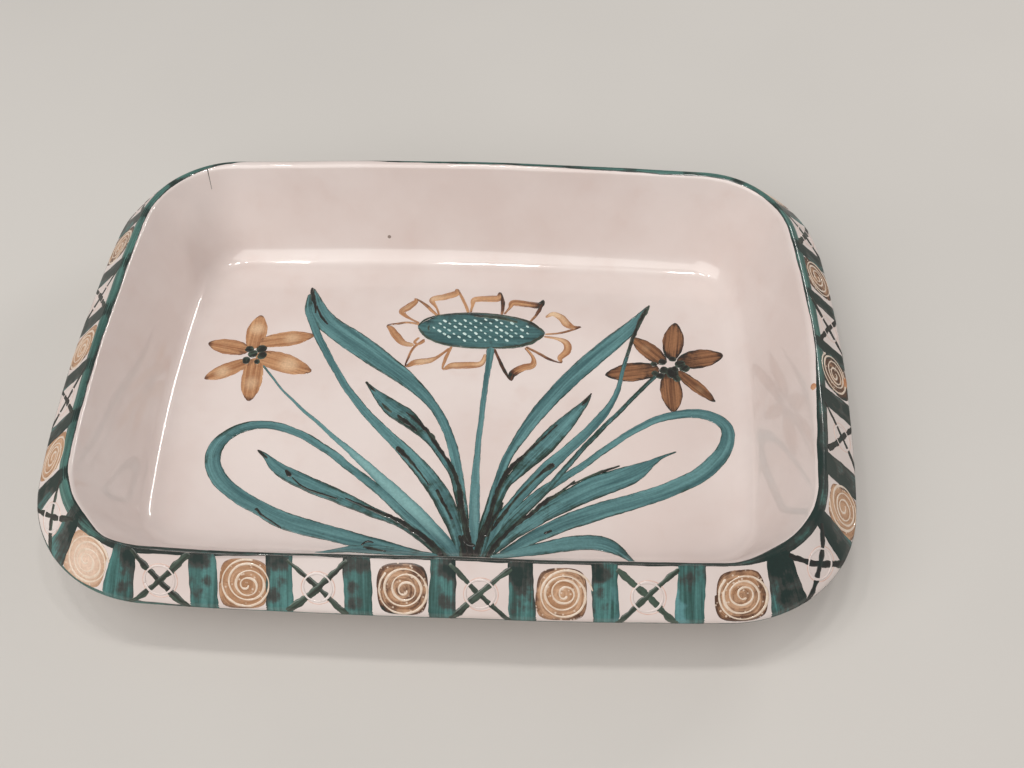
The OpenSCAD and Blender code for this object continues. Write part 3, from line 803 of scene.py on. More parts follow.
def bar(centre, width, seed):
    """One bar: brushed down the slope from the lip, with soft pools and one darker side."""
    rng = np.random.RandomState(seed)
    rows, columns = 30, 17
    # The rim's darkness here includes painted shade where the bar lies at a shaded end of the dish.
    shade_and_tone = darkness(centre)
    over = 1.5 * max(0.0, shade_and_tone - 0.3)
    top = np.interp(centre % ROUND, BAND_AT, BAND_IN) + 0.6 - over
    t = np.linspace(top, BAR_END, rows)[:, None]
    v = np.linspace(-1, 1, columns)[None, :]
    lean, flare = rng.uniform(-0.7, 0.7), rng.uniform(0.0, 0.08)
    half = width / 2 * (0.97 + flare * (t - 10) / 12)
    half = half * np.where(t < 1, 1 - 0.3 * ((1 - t) / 6) ** 2, 1)
    rough = 0.3 * np.where(v < 0, wave(t, seed * 3, 12), wave(t, seed * 3 + 1, 12))
    u = v * (half + rough) + lean * (t - 11) / 12
    s = centre + u
    t = np.broadcast_to(t, s.shape)
    pool = 1.5 * shade_and_tone - 0.32 + 0.55 * soft_step(t, 11, 2)
    pool = pool + rng.choice([-1, 1]) * rng.uniform(0.2, 0.38) * v
    spots = [(rng.uniform(4, 7), 4.6), (rng.uniform(11, 14), 3.4), (rng.uniform(17, 21), 4.0)]
    for at, size in spots:
        side = rng.uniform(-0.4, 0.4) * width / 2
        reach = np.hypot((u - side) / (size * 0.9), (t - at) / size)
        pool = pool + rng.uniform(0.3, 0.65) * soft_step(reach, 1.3, 0.4)
    lay(bars, on_rim, s, t, BAR_LIFT, seed, (t, u), pool, np.abs(v))


def cross(centre, seed):
    """Two crossing strokes, broken where a circle was scratched through them."""
    rng = np.random.RandomState(seed)
    mid = CROSS_MIDDLE + rng.uniform(-0.7, 0.7)
    ring_r = RING_R + rng.uniform(-0.3, 0.4)
    # The rim's darkness here includes painted shade where the cross lies at a shaded end of the
    # dish.
    dark = min(0.95, darkness(centre) + 0.15)
    for k, way in enumerate((1, -1)):
        slope = way * rng.uniform(0.9, 1.04)
        bend = rng.uniform(-0.5, 0.5)
        width = rng.uniform(2.3, 3.3)
        swell = rng.uniform(-0.35, 0.35)
        points = []
        for x in np.linspace(-CROSS_REACH, CROSS_REACH, 13):
            t = mid + slope * x + bend * (1 - (x / 8) ** 2)
            t = np.clip(t, CROSS_TOP, CROSS_END)
            bulge = 1 + swell * x / CROSS_REACH + 0.15 * math.sin(x + seed)
            points.append([centre + x, t, width * bulge, dark - 0.4 * abs(swell) * (x > 6)])
        ribbon(crosses, on_rim, points, CROSS_LIFT + 0.02 * k, seed * 9 + k, dark,
               step=0.9, columns=7, fray=0.3, flip=True)
    turn = np.linspace(0, TURN * 1.02, 34) + rng.uniform(0, TURN)
    points = np.stack([
        centre + ring_r * np.cos(turn), mid + ring_r * np.sin(turn), 1.25 + 0.3 * np.sin(3 * turn)
    ], -1)
    ribbon(ring_scratches, on_rim, points, SCRATCH_LIFT, seed, 0.2,
           step=0.8, columns=5, fray=0.3, flip=True)
    wide = ring_r + PINK_GAP
    points = np.stack([
        centre + 0.4 + wide * np.cos(turn), mid + 0.2 + wide * np.sin(turn),
        np.full(len(turn), 0.55),
    ], -1)
    ribbon(rings_pink, on_rim, points, PINK_LIFT, seed, 0.2,
           step=0.8, columns=5, fray=0.05, flip=True)


def disc(centre, seed, tone):
    """A swirled disc with a spiral scratched through it, which runs out over the next bar."""
    rng = np.random.RandomState(seed)
    mid = DISC_MIDDLE + rng.uniform(-0.5, 0.5)
    blob(discs, on_rim, (centre - 1.0, mid), DISC_SIZE, DISC_LIFT, seed, tone,
         size=27, fray=0.05, power=2.9, flip=True, swirl=True)
    turns = rng.uniform(3.4, 4.0)
    start = rng.uniform(0, 0.5)
    a = np.linspace(0, turns * TURN, 56)
    r = 0.9 + SPIRAL_R * (a / a[-1]) ** 0.92 + 0.45 * np.sin(1.3 * a + seed)
    x = centre + r * np.cos(a + start) * 1.04 + 0.5 * (a / a[-1])
    y = np.clip(mid + r * 1.04 * np.sin(a + start), SPIRAL_TOP, SPIRAL_END)
    points = np.stack([x, y, 1.15 + 0.35 * np.sin(1.7 * a + seed)], -1)
    ribbon(spirals, on_rim, points, SPIRAL_LIFT, seed, 0.2,
           step=0.6, columns=5, fray=0.3, flip=True)


# Darkness of single discs by their distance round the rim, and of all the others
OTHER_TONE = 0.35
TONES = {618: 0.0, 677: -0.35, 747: 0.05, 813: 0.45, 879: 0.25, 953: 0.34, 1020: 0.1, 1092: 0.65,
         52: 0.55, 489: 0.5, 556: 0.15}
for number, (disc_s, bar_1, cross_s, bar_2, width_1, width_2) in enumerate(REPEATS):
    bar(bar_1, width_1, 100 + number)
    bar(bar_2, width_2, 140 + number)
    cross(cross_s, 180 + number)
    disc(disc_s, 220 + number, TONES.get(disc_s, OTHER_TONE))

bars.make("frieze_bar_strokes", BAR_TEAL, "dark_teal_paint", "frieze_bars")
crosses.make("frieze_cross_strokes", DARK, "dark_teal_paint", "frieze_crosses")
rings_pink.make("frieze_cross_rings", PINK, "tan_paint")
ring_scratches.make("frieze_ring_scratches", WHITE, "white_glaze")
discs.make("frieze_disc_patches", DISC, "tan_paint", "frieze_discs")
spirals.make("frieze_spirals", SCRATCH, "white_glaze")

# ---- the painting on the floor: strokes as [x, y, width] in mm, most with a darkness ----

LEFT_LEAVES = [
    [[-83.5, 70, 2, 0.7], [-80, 59, 8, 0.3], [-75.5, 50, 11, 0.15], [-69, 43, 12.5, 0.1],
     [-54.5, 32, 14, 0.1], [-40.5, 21, 12.5, 0.1], [-27, 10, 9.5, 0.25], [-15, -2.5, 6, 0.25],
     [-6.5, -16, 5, 0.15], [-0.5, -32, 5.2, 0.15], [3.5, -50, 5.2, 0.3], [7, -70, 5, 0.5],
     [9, -93, 5, 0.6]],
    [[-84.5, 66, 2, 0.6], [-84, 56, 4, 0.3], [-80.5, 46.5, 4.5, 0.1], [-75, 34.5, 4.4, 0.15],
     [-65.5, 17.5, 4, 0.15], [-56.5, 3, 4.2, 0.15], [-44, -13, 5, 0.15], [-32, -25.5, 6, 0.1],
     [-20.5, -37.5, 8, 0.2], [-9, -51.5, 9.6, 0.3], [-1, -65, 9.5, 0.35], [5, -80, 7, 0.45],
     [8, -93, 5, 0.5]],
    [[-48, 8, 1, 0.8], [-44, 3.5, 3, 0.45], [-40.5, -0.5, 5.5, 0.3], [-36, -5, 8.5, 0.3],
     [-32, -8.5, 10, 0.35], [-27, -12, 10.5, 0.45], [-23, -15.5, 9.5, 0.5], [-18, -20.5, 7, 0.5],
     [-14, -25, 5, 0.5], [-9.5, -31, 3.8, 0.5], [-3, -40.5, 3.8, 0.5], [1, -48, 4, 0.6],
     [4, -58, 4.6, 0.6], [7, -70, 4.8, 0.6], [9.5, -80, 5, 0.6], [11, -93, 5, 0.6]],
    [[-96, -35, 1, 0.8], [-91, -39, 3.2, 0.4], [-86.5, -43.5, 6, 0.2], [-81, -47.5, 7.5, 0.3],
     [-75.5, -50.5, 8.5, 0.25], [-69, -53.5, 8.6, 0.2], [-62.5, -56.5, 8.6, 0.3],
     [-55, -59.5, 8, 0.35], [-48.5, -62.5, 7.4, 0.3], [-42, -65.5, 6.4, 0.4],
     [-35.5, -68.5, 5.8, 0.5], [-28, -71.5, 4.6, 0.55], [-20, -75.5, 4.2, 0.6],
     [-12, -81, 4.6, 0.6], [-4, -88, 5, 0.6], [0, -93, 5, 0.6]],
    [[-60, -93, 1.5, 0.2], [-48, -89.8, 4, 0.2], [-38, -88.6, 6.4, 0.3], [-20, -90, 6, 0.3],
     [0, -93, 5, 0.3]],
]
RIGHT_LEAVES = [
    [[97, 63.5, 1.2, 0.8], [93, 57.5, 4, 0.4], [88.5, 50.5, 7, 0.2], [84, 45, 9, 0.12],
     [78, 38.5, 10, 0.1], [67.5, 27, 10.5, 0.1], [58, 16, 10, 0.1], [48, 3, 9, 0.1],
     [39.5, -9.5, 8, 0.12], [32, -23, 6.2, 0.2], [25.8, -36, 4.8, 0.25], [22.5, -48, 4.8, 0.3],
     [19.8, -60, 5, 0.4], [16.5, -75, 5, 0.6], [13.5, -93, 5, 0.6]],
    [[97, 63.5, 1, 0.9], [92, 52, 2.4, 0.9], [89, 44.5, 2.2, 0.85], [85.5, 32, 2.1, 0.6],
     [82.5, 20, 2.4, 0.25], [80, 8, 2.7, 0.15], [77, 0, 3.4, 0.1], [72.5, -8, 4.6, 0.1],
     [64.5, -19, 5.4, 0.05], [55, -30, 6, 0.0], [46, -40, 7.2, 0.05], [38, -50, 6.6, 0.2],
     [30.5, -60.5, 5.8, 0.2], [23.5, -72, 5.4, 0.2], [18, -93, 4.5, 0.4]],
    [[66.5, 4.5, 0.8, 0.9], [63.5, -1, 3.5, 0.5], [60, -6, 5.6, 0.35], [56, -11.5, 8, 0.3],
     [52, -16.5, 9.6, 0.25], [48, -22, 10.6, 0.3], [44, -27.5, 10.8, 0.4], [40, -32.5, 10, 0.45],
     [36, -37.5, 8.6, 0.5], [31.5, -43.5, 6.4, 0.5], [27, -49.5, 4.6, 0.5], [24, -56, 4.2, 0.6],
     [21.5, -64, 4.5, 0.6], [18.5, -74, 5, 0.6], [15, -93, 5, 0.6]],
    [[108, -29, 0.9, 0.7], [101, -32.3, 1.8, 0.4], [96, -35.8, 4, 0.2], [91, -39.5, 8, 0.1],
     [85, -43.3, 11, 0.1], [77, -47, 12.5, 0.15], [69, -50.5, 12.8, 0.15], [61, -55, 12.2, 0.2],
     [53, -60, 11.2, 0.3], [45, -65.5, 9.8, 0.35], [37, -72, 8, 0.35], [28, -80, 6, 0.4],
     [17, -92, 4, 0.5]],
    [[20, -92, 4, 0.4], [34, -87.5, 6, 0.3], [44, -85, 7.4, 0.2], [53, -82.6, 8, 0.15],
     [62, -81, 8.4, 0.15], [70, -81, 8.4, 0.15], [76.5, -83.2, 7.2, 0.2], [81.5, -87, 4.6, 0.4],
     [86, -93, 2, 0.6]],
]
LOOPS = [
    [[4, -93, 5, 0.4], [-8, -80, 5.6, 0.3], [-19.5, -70, 5.6, 0.3], [-30, -60, 5.2, 0.3],
     [-40, -51.5, 4.7, 0.3], [-51, -43, 4.4, 0.3], [-58, -37, 4.6, 0.2], [-66, -31.5, 4.6, 0.3],
     [-73, -27, 4.6, 0.25], [-80.5, -23.5, 4.6, 0.2], [-88, -21, 5, 0.2], [-96, -20.2, 5.4, 0.2],
     [-103.5, -21.5, 6, 0.25], [-110.5, -25.5, 6.8, 0.35], [-115.5, -31.5, 7.8, 0.3],
     [-117, -38.5, 8.4, 0.25], [-115.5, -46, 8.4, 0.15], [-110, -54, 8.4, 0.1],
     [-100, -62, 8.2, 0.1], [-89.5, -67.8, 8.2, 0.1], [-83, -71.5, 9, 0.1], [-76, -74.5, 9.8, 0.1],
     [-68, -77, 9.5, 0.1], [-60, -79, 9, 0.15], [-50, -81.5, 8.5, 0.15], [-40, -84, 8, 0.2],
     [-25, -87.5, 7, 0.2], [-8, -92, 5, 0.3]],
    [[16, -93, 4, 0.4], [26, -75, 5, 0.35], [36, -61.5, 5.4, 0.35], [45, -52.5, 5, 0.3],
     [53.5, -46, 4.2, 0.25], [62.5, -38.8, 4, 0.2], [70, -32, 3.8, 0.15], [78, -25, 3.8, 0.15],
     [84, -20, 3.8, 0.15], [89.5, -16, 4, 0.15], [96.5, -11.5, 4.3, 0.15], [104, -8.4, 4.8, 0.1],
     [111.5, -6.5, 5.4, 0.1], [119, -6, 6, 0.1], [126, -7.5, 6.4, 0.1], [131.5, -11.5, 6.8, 0.15],
     [133.5, -17, 7, 0.1], [132.5, -23.5, 7.6, 0.1], [130, -29, 8.2, 0.1], [126, -34.5, 8.8, 0.1],
     [121.5, -39.5, 9, 0.1], [116, -43.8, 8.8, 0.1], [108, -48.5, 8.8, 0.1], [100, -52.5, 8.8, 0.1],
     [90.5, -56.5, 9, 0.1], [81, -60, 9.4, 0.1], [72, -63.3, 9.8, 0.15], [63, -67, 9.8, 0.2],
     [54, -71, 9, 0.25], [45, -76, 8, 0.25], [36, -81.5, 6.5, 0.3], [25, -90, 5, 0.4]],
]
STEMS = [
    [[-102, 17, 1.2, 0.5], [-96, 9.5, 1.2, 0.4], [-90, 2, 1.2, 0.3], [-84, -4, 1.4, 0.3],
     [-77.5, -10.5, 1.8, 0.2], [-70.5, -16.5, 2, 0.1], [-64, -22.5, 2.3, 0.0],
     [-57.5, -28.5, 2.8, -0.1], [-51, -34, 3.6, -0.2], [-44, -40.5, 4.6, -0.3],
     [-36, -48, 5.6, -0.3], [-28, -55.5, 6.6, -0.3], [-18, -65, 7, -0.3], [-8, -75, 6.6, -0.2],
     [2, -86, 5.6, 0.0], [6, -93, 5, 0.2]],
    [[14.7, 33.2, 4.2, 0.25], [14.4, 29, 4.4, 0.2], [13.8, 20, 3.4, 0.05], [13.1, 10, 3, 0.0],
     [12.5, 0, 3, 0.05], [12.2, -10, 3, 0.0], [11.6, -22, 3, 0.0], [11.3, -32, 3.2, 0.1],
     [11.2, -42, 3.8, 0.05], [11.2, -50, 4.6, 0.0], [11.6, -60, 5.2, -0.1],
     [12, -72, 5.6, -0.1], [12, -93, 5, 0.2]],
    [[99.5, 17, 2.2, 0.7], [95, 12, 2.4, 0.75], [90.5, 6.5, 2.4, 0.7], [85, -0.5, 2.4, 0.7],
     [79.5, -7.5, 2.5, 0.65], [74, -14, 2.6, 0.6], [68.5, -21, 2.8, 0.6], [62, -29.5, 2.8, 0.6],
     [56, -38, 3, 0.55], [49, -48, 3.2, 0.5], [43, -56, 3.8, 0.5], [36, -64, 4.4, 0.55],
     [28.5, -73, 4.4, 0.6], [22, -83, 4.6, 0.6], [18, -93, 5, 0.6]],
]
DARK_STROKES = [
    [[-84, 70.5, 1.6], [-82.4, 64, 3], [-80.6, 58, 2], [-79.6, 52, 1]],
    [[-80, 58, 1], [-77.5, 52.5, 1.4], [-75, 48.5, 2.2], [-72, 44.5, 1]],
    [[-48, 8.2, 1], [-44.5, 4.2, 1.8], [-42, 1.5, 0.8]],
    [[-38.5, -5, 0.8], [-35.5, -8.4, 2], [-32.5, -11, 0.9]],
    [[-30, -12, 1], [-27, -14.6, 3], [-23.5, -17.5, 2.6], [-19, -22, 1.4]],
    [[-26, -10.2, 0.9], [-20, -15, 2], [-14, -21.8, 2.6], [-9, -29, 2.6], [-3.6, -37.4, 2],
     [1, -45, 2.6], [4, -55, 3.2], [5.6, -64, 3.8], [8, -74, 3.8], [10.4, -85, 5.2], [11, -93, 6]],
    [[-28.3, -30.6, 2.4], [-25.6, -34, 3.4], [-22, -38, 2.2], [-16, -45, 1.2], [-10.5, -53, 1]],
    [[-7, -54.5, 1.6], [-4.2, -60, 2.3], [-1, -66, 1.6], [2, -71.5, 1.1]],
    [[-96, -35, 0.9], [-92, -38.6, 1.5], [-90, -40.2, 0.7]],
    [[-80.6, -46, 1], [-78.8, -48.2, 3.2], [-77, -50.2, 1]],
    [[-77, -50.2, 0.8], [-71.5, -55, 1.2], [-64, -58.4, 1.3], [-53, -61.8, 1.3]],
    [[-50, -61, 0.9], [-40, -65.6, 1.7], [-30, -69.6, 2.6], [-20, -74.6, 3], [-11, -81, 3.6],
     [-4, -88, 4.2], [-1, -93, 3]],
    [[-91.6, -67.8, 1.5], [-88, -71.4, 1.2], [-82, -75.3, 1], [-77.5, -78.4, 0.7]],
    [[-39.4, -86.4, 1], [-37, -84, 1.3], [-33.5, -84.6, 0.7]],
    [[-38.5, -87, 1.6], [-33, -88.6, 2.2], [-27, -89.6, 1]],
    [[97.3, 64, 1], [94.6, 58.6, 2.6], [91.6, 51.6, 2.4], [89, 44.5, 2], [86.6, 36, 1.7],
     [84.4, 28, 1.1]],
    [[66.7, 4.8, 0.8], [63.8, 0, 1.9], [61.6, -3.4, 0.8]],
    [[50, -15, 0.8], [42.5, -24, 1.3], [36, -31.5, 1.7], [30, -38.4, 2.4], [25.2, -46, 3],
     [22.6, -53, 3], [20.8, -61, 2.8], [18.8, -70, 3.2], [16, -80, 4], [13, -93, 4.4]],
    [[49, -38.4, 2], [46.6, -40, 3.2], [43, -43.6, 1.8], [37, -50.5, 1.3], [30, -60, 1.5],
     [24.5, -69, 2.2], [20, -77, 1]],
    [[59, -47.4, 0.8], [52, -54, 1.6], [45, -59.8, 2.6], [40, -65, 2.8], [33, -71.4, 2.2],
     [26, -79, 2.6], [21.5, -86, 3.4], [19, -93, 3]],
    [[80.5, -38.2, 0.8], [73, -41.4, 1.6], [65, -45.2, 1.1], [57, -50, 1]],
    [[44.6, -77, 1.6], [48.6, -75, 1.6]],
    [[25, -60.5, 1], [23, -66, 2.2], [20, -73, 2.4], [17.5, -80, 2.6]],
    [[5.5, -79, 2], [7.5, -84, 3.4], [9, -93, 5]],
    [[7, -79, 1.6], [10, -83.5, 2.6], [13.6, -84.5, 1.4]],
]
PETAL_STROKES = [
    [[-14.8, 53, 1.2, 0.5], [-15.6, 58, 1.6, 0.3], [-18.5, 63.8, 3.6, 0.0], [-12, 66, 4.8, 0.05],
     [-6, 68.8, 4.8, 0.15], [-5.6, 71.8, 1.2, 0.4], [-3, 66.5, 1.8, 0.35], [0.2, 59, 2, 0.25],
     [1, 55.8, 1.6, 0.3]],
    [[2.2, 56, 1.4, 0.4], [3.2, 60, 1.8, 0.2], [4, 64.4, 4, 0.05], [10, 65.4, 4.8, 0.2],
     [16.6, 66, 4.8, 0.3], [17.6, 70.2, 1.2, 0.6], [19.2, 64, 2.6, 0.6], [19.4, 59, 2, 0.5],
     [19.6, 55, 1.6, 0.4]],
    [[20.8, 55.4, 1.4, 0.5], [23, 59.4, 1.8, 0.3], [25, 63, 4.6, 0.2], [32, 62.4, 4.8, 0.35],
     [39, 62, 4.6, 0.7], [40.8, 65.8, 1, 0.8], [39, 59, 2.4, 0.6], [37, 54.5, 1.8, 0.5],
     [35.4, 50.6, 1.4, 0.4]],
    [[42.2, 53.4, 1, 0.1], [46, 56, 3.4, -0.1], [50.5, 53.8, 4.6, 0.0], [54, 49, 4.8, 0.05],
     [57.5, 47.4, 2.4, 0.4], [61, 47.8, 0.8, 0.6], [56, 45.4, 1.6, 0.5], [50, 43.2, 1.4, 0.35],
     [43.6, 42, 1.2, 0.3]],
    [[43, 40.4, 1, 0.2], [48.5, 39.4, 2.2, 0.0], [53.4, 36.6, 4.2, 0.05], [54, 31.5, 4.4, 0.15],
     [50.4, 26.6, 3.4, 0.25], [51, 23.6, 0.9, 0.5], [45, 25.6, 1.7, 0.5], [39.6, 29, 1.8, 0.4],
     [33.6, 33, 1.4, 0.5]],
    [[16.6, 31, 1.4, 0.5], [19, 24.5, 1.8, 0.5], [22, 17.6, 2, 0.6], [25.6, 11.4, 1.2, 0.7],
     [26.4, 15.4, 4.6, 0.6], [31, 19.4, 4.6, 0.2], [36.4, 21.6, 4.2, 0.1], [36.4, 26.6, 2, 0.25],
     [33.2, 32.4, 1.4, 0.4]],
    [[11.8, 28, 1.4, 0.05], [10, 21.6, 3.6, 0.0], [3, 20.2, 4.6, 0.1], [-5, 19.6, 4.4, 0.05],
     [-9.4, 17.4, 1.2, 0.4], [-8.6, 24, 2, 0.25], [-6.6, 32, 1.6, 0.2]],
    [[-7.8, 30.6, 1.4, 0.15], [-12.4, 25.4, 2, 0.1], [-17, 22.6, 3.8, 0.0], [-24, 21.2, 4.2, 0.05],
     [-28.6, 18.6, 1.2, 0.5], [-27.6, 25, 1.4, 0.4], [-25.4, 31, 1.6, 0.3],
     [-21.6, 36.4, 1.4, 0.3]],
    [[-25.4, 32.4, 2.2, 0.0], [-31, 33.6, 3.8, 0.05], [-35, 38, 4.8, 0.1], [-38.4, 43, 3.6, 0.15],
     [-40.6, 45.4, 1, 0.5], [-35.6, 46.6, 1.6, 0.5], [-30, 47.6, 1.5, 0.35],
     [-24.6, 46.6, 1.4, 0.4]],
    [[-25.4, 47.6, 1.2, 0.3], [-29.6, 50.6, 1.7, 0.2], [-33.8, 54.8, 3.6, 0.1],
     [-30.6, 58.4, 4.4, 0.05], [-27.2, 62.4, 3.2, 0.15], [-27.2, 64.2, 1, 0.4],
     [-22, 60.4, 1.8, 0.35], [-18.4, 56.6, 2, 0.25], [-15.6, 53, 1.4, 0.3]],
    [[-24.6, 37.6, 1.4, 0.15], [-25.4, 34.8, 1.6, 0.2], [-23.4, 33.2, 1.5, 0.25],
     [-21.4, 35.4, 1.4, 0.2]],
]
# Petals of the side flowers as [root x, root y, tip x, tip y, width, darkness]
LEFT_PETALS = [
    [-109, 29.5, -108.4, 50.5, 11.4, 0.0], [-103.4, 32.2, -77.8, 37.4, 10.4, 0.05],
    [-103.4, 22.6, -76.2, 13.4, 12.6, 0.0], [-106.6, 18.6, -105.4, -6.4, 11.5, 0.05],
    [-112, 17.6, -130.6, 7, 9.5, 0.0], [-113, 26.6, -133, 30.4, 10.4, 0.2],
]
RIGHT_PETALS = [
    [107.6, 30, 110.6, 52.6, 11.6, 0.35], [112.6, 26.4, 134.4, 31.8, 12.6, 0.4],
    [112, 18.4, 128.6, 1.4, 7, 0.15], [106.2, 17, 107.4, -6, 11.6, 0.25],
    [98.4, 20.8, 73.2, 16.4, 12.4, 0.35], [102.6, 26.6, 87.6, 41.6, 10, 0.15],
]
LEFT_DOTS = [(-110.8, 27.2, 2.6), (-108.2, 24.2, 2.9), (-104.3, 27.4, 2.9), (-103.2, 23, 3.0),
             (-111.2, 19.6, 2.7), (-105.4, 19, 2.0)]
RIGHT_DOTS = [(108, 28, 2.2), (112, 24.8, 3.0), (114.2, 22.2, 2.8), (103.6, 20.6, 2.8),
              (107.4, 18.8, 3.9), (109.6, 15.6, 2.6), (98.8, 18.4, 2.3), (102.8, 26, 2.3),
              (98.4, 24.4, 1.8), (101.4, 17, 2.4), (109, 21.4, 2.2)]


# How far the strokes and dots stand over the glaze, and each one over the one before it, in mm
STROKE_RISE, OUTLINE_RISE, FLOWER_RISE = 0.012, 0.01, 0.008
PETAL_LIFT, SEED_DISC_LIFT, DOT_LIFT, OUTLINE_LIFT, SEED_LIFT = 0.06, 0.13, 0.16, 0.2, 0.27


def paint(name, strokes, material, slot, nodes, lift, seed, step=1.1, fray=0.13, columns=11):
    """Several strokes as one piece, each a little higher than the one before."""
    sheet = Sheet()
    for k, points in enumerate(strokes):
        ribbon(sheet, on_floor, points, lift + STROKE_RISE * k, seed + k, 0.75, step, columns, fray)
    sheet.make(name, material, slot, *nodes)


for name, strokes, lift, seed, columns in (
    ("left_leaf_strokes", LEFT_LEAVES, 0.14, 300, 11),
    ("right_leaf_strokes", RIGHT_LEAVES, 0.15, 320, 11),
    ("loop_strokes", LOOPS, 0.12, 340, 11),
    ("stem_strokes", STEMS, 0.2, 360, 9),
):
    paint(name, strokes, TEAL, "teal_paint", ["foliage"], lift, seed, columns=columns)
paint("dark_accent_strokes", DARK_STROKES, DARK, "dark_teal_paint", [], 0.24, 380, 0.6, 0.42, 7)

seed_box = np.array(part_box("seed_disc"))
SEED_DISC = [round(v / MM, 1) for v in seed_box.mean(axis=0)[:2]]  # its middle
PETALS_DRAWN_IN = 0.955


def to_the_disc(x, y, w, pool):
    """A petal's point: more contrast, and drawn in under the seed disc where it is near it."""
    dx, dy = x - SEED_DISC[0], y - SEED_DISC[1]
    near = math.hypot(dx / 33.5, dy / 12.3) < 1.2
    pull = PETALS_DRAWN_IN if near else 1.0
    return [SEED_DISC[0] + pull * dx, SEED_DISC[1] + pull * dy, w, 1.8 * (pool - 0.12)]


petal_points = [[to_the_disc(*point) for point in points] for points in PETAL_STROKES]
paint("middle_petal_strokes", petal_points, TAN, "tan_paint", ["middle_petals"], 0.08, 420,
      0.7, 0.12, 7)

# A petal as [share of the way to its tip, share of its width, darker by]
PETAL_SHAPE = [(-0.12, 0.5, 0.3), (0.08, 0.84, 0.25), (0.28, 1.0, 0), (0.5, 1.02, -0.22),
               (0.7, 0.84, -0.12), (0.88, 0.48, 0.25), (1, 0.12, 0.8)]


def petal(sheet, root_x, root_y, tip_x, tip_y, width, pool, lift, seed):
    """A pointed petal, full in the middle, with the brush lifted at its tip."""
    root, tip = np.array([root_x, root_y]), np.array([tip_x, tip_y])
    points = [
        [*(root + share * (tip - root)), full * width, pool + darker]
        for share, full, darker in PETAL_SHAPE
    ]
    ribbon(sheet, on_floor, points, lift, seed, columns=13, step=0.9, fray=0.2)


def flower(name, petals, dots, material, slot, nodes, seed):
    """A side flower: its petals as one piece and the dots in its middle as another."""
    sheet = Sheet()
    for k, row in enumerate(petals):
        petal(sheet, *row, PETAL_LIFT + FLOWER_RISE * k, seed + k)
    sheet.make(name + "_petal_strokes", material, slot, nodes[0])
    middle = Sheet()
    for k, (x, y, r) in enumerate(dots):
        blob(middle, on_floor, (x, y), (r, r * 0.9), DOT_LIFT + FLOWER_RISE * k, seed + 20 + k,
             0.7, turn=0.4 * k, size=9, fray=0.14)
    middle.make(name + "_stamen_dots", DARK, "dark_teal_paint", nodes[1])


flower("left", LEFT_PETALS, LEFT_DOTS, TAN, "tan_paint", ("left_petals", "left_stamens"), 500)
flower("right", RIGHT_PETALS, RIGHT_DOTS, BROWN, "brown_paint",
       ("right_petals", "right_stamens"), 540)

seed_head = Sheet()
ribbon(
    seed_head, on_floor,
    [[-24.8, 45.4, 1, 0.4], [-22, 44.8, 9.3, 0.35], [-18, 44.1, 15.8, 0.3], [-14, 44, 19, 0.25],
     [-10, 43.7, 21.5, 0.2], [-4, 43.6, 23.2, 0.2], [8, 43.3, 24.6, 0.2], [20, 43.1, 23, 0.2],
     [30, 42.8, 19, 0.25], [37, 42.7, 12, 0.4], [40, 42.8, 6.7, 0.5], [42.4, 42.3, 1, 0.7]],
    SEED_DISC_LIFT, 460, columns=21, step=0.8, fray=0.25,
)
seed_head.make("seed_disc_stroke", SEED, "dark_teal_paint", "seed_disc")
outline = Sheet()
for k, points in enumerate([
    [[-24.6, 45.2, 1], [-21, 49.9, 1.2], [-14, 53, 1], [-4, 54.7, 0.9], [8, 55.2, 0.9],
     [20, 54, 1.2], [30, 51.6, 1.6], [37, 47.8, 2], [42, 42.6, 1]],
    [[-24.4, 44.6, 0.9], [-22, 41.2, 1.2], [-18, 37, 1.2], [-10, 33.7, 1.3], [0, 32, 1.1],
     [12, 31.8, 1.3], [25, 32.9, 1.8], [34, 35.6, 2.6], [38.6, 38.8, 2], [41.8, 41.8, 1.1]],
    [[-18.6, 46.5, 0.9], [-19, 44, 1.3], [-18.4, 42, 0.9]],
    [[4, 53.0, 1.4], [12, 53.0, 2.4], [20, 51.8, 2.8], [28, 49.4, 1.6]],
]):
    ribbon(outline, on_floor, points, OUTLINE_LIFT + OUTLINE_RISE * k, 470 + k, 0.55,
           step=0.7, columns=7, fray=0.3)
outline.make("seed_disc_outline", DARK, "dark_teal_paint")
seeds = Sheet()
rng = np.random.RandomState(3)
SEED_LENGTH, SEED_WIDTH, SEED_TURN = 1.55, 0.85, -0.66
FIELD_MIDDLE, FIELD_HALF = (8.4, 43.7), (26.5, 8.4)  # the oval that the dots fill
for i in range(-6, 8):
    for j in range(-5, 6):
        x, y = 8.5 + 5.4 * i + 2.75 * j, 43.6 + 0.25 * i - 2.15 * j
        x, y = x + rng.uniform(-0.35, 0.35), y + rng.uniform(-0.3, 0.3)
        size = rng.uniform(0.62, 1.0)
        across, down = (x - FIELD_MIDDLE[0]) / FIELD_HALF[0], (y - FIELD_MIDDLE[1]) / FIELD_HALF[1]
        if across**2 + down**2 < 1:
            blob(seeds, on_floor, (x, y), (SEED_LENGTH * size, SEED_WIDTH * size), SEED_LIFT,
                 480 + i * 11 + j, 0.1, turn=SEED_TURN, size=7, fray=0.12)
seeds.make("seed_dots", DAB, "white_glaze")

# ---- wear: chips that show the clay, and a hairline crack ----

CHIPS = [(1077, -4.6, 1.9, 1.5), (1092.5, 22.2, 3.6, 1.9)]  # round, down, half width and height
chips = Sheet()
for k, (s, t, width, height) in enumerate(CHIPS):
    blob(chips, on_rim, (s, t), (width, height), 0.2, 600 + k, 0.3,
         turn=0.3, size=11, fray=0.2, flip=True)
chips.make("glaze_chips", CLAY_BARE, "earthenware")
crack = Sheet()
ribbon(crack, on_rim, [[418, -3.2, 1.4], [418.2, -5, 0.7], [418.6, -9, 0.45], [419.4, -15, 0.3]],
       0.12, 610, 0.6, step=0.6, columns=5, fray=0.1, flip=True)
crack.make("hairline_crack", DARK, "dark_teal_paint")

# ---- stage, light and camera ----

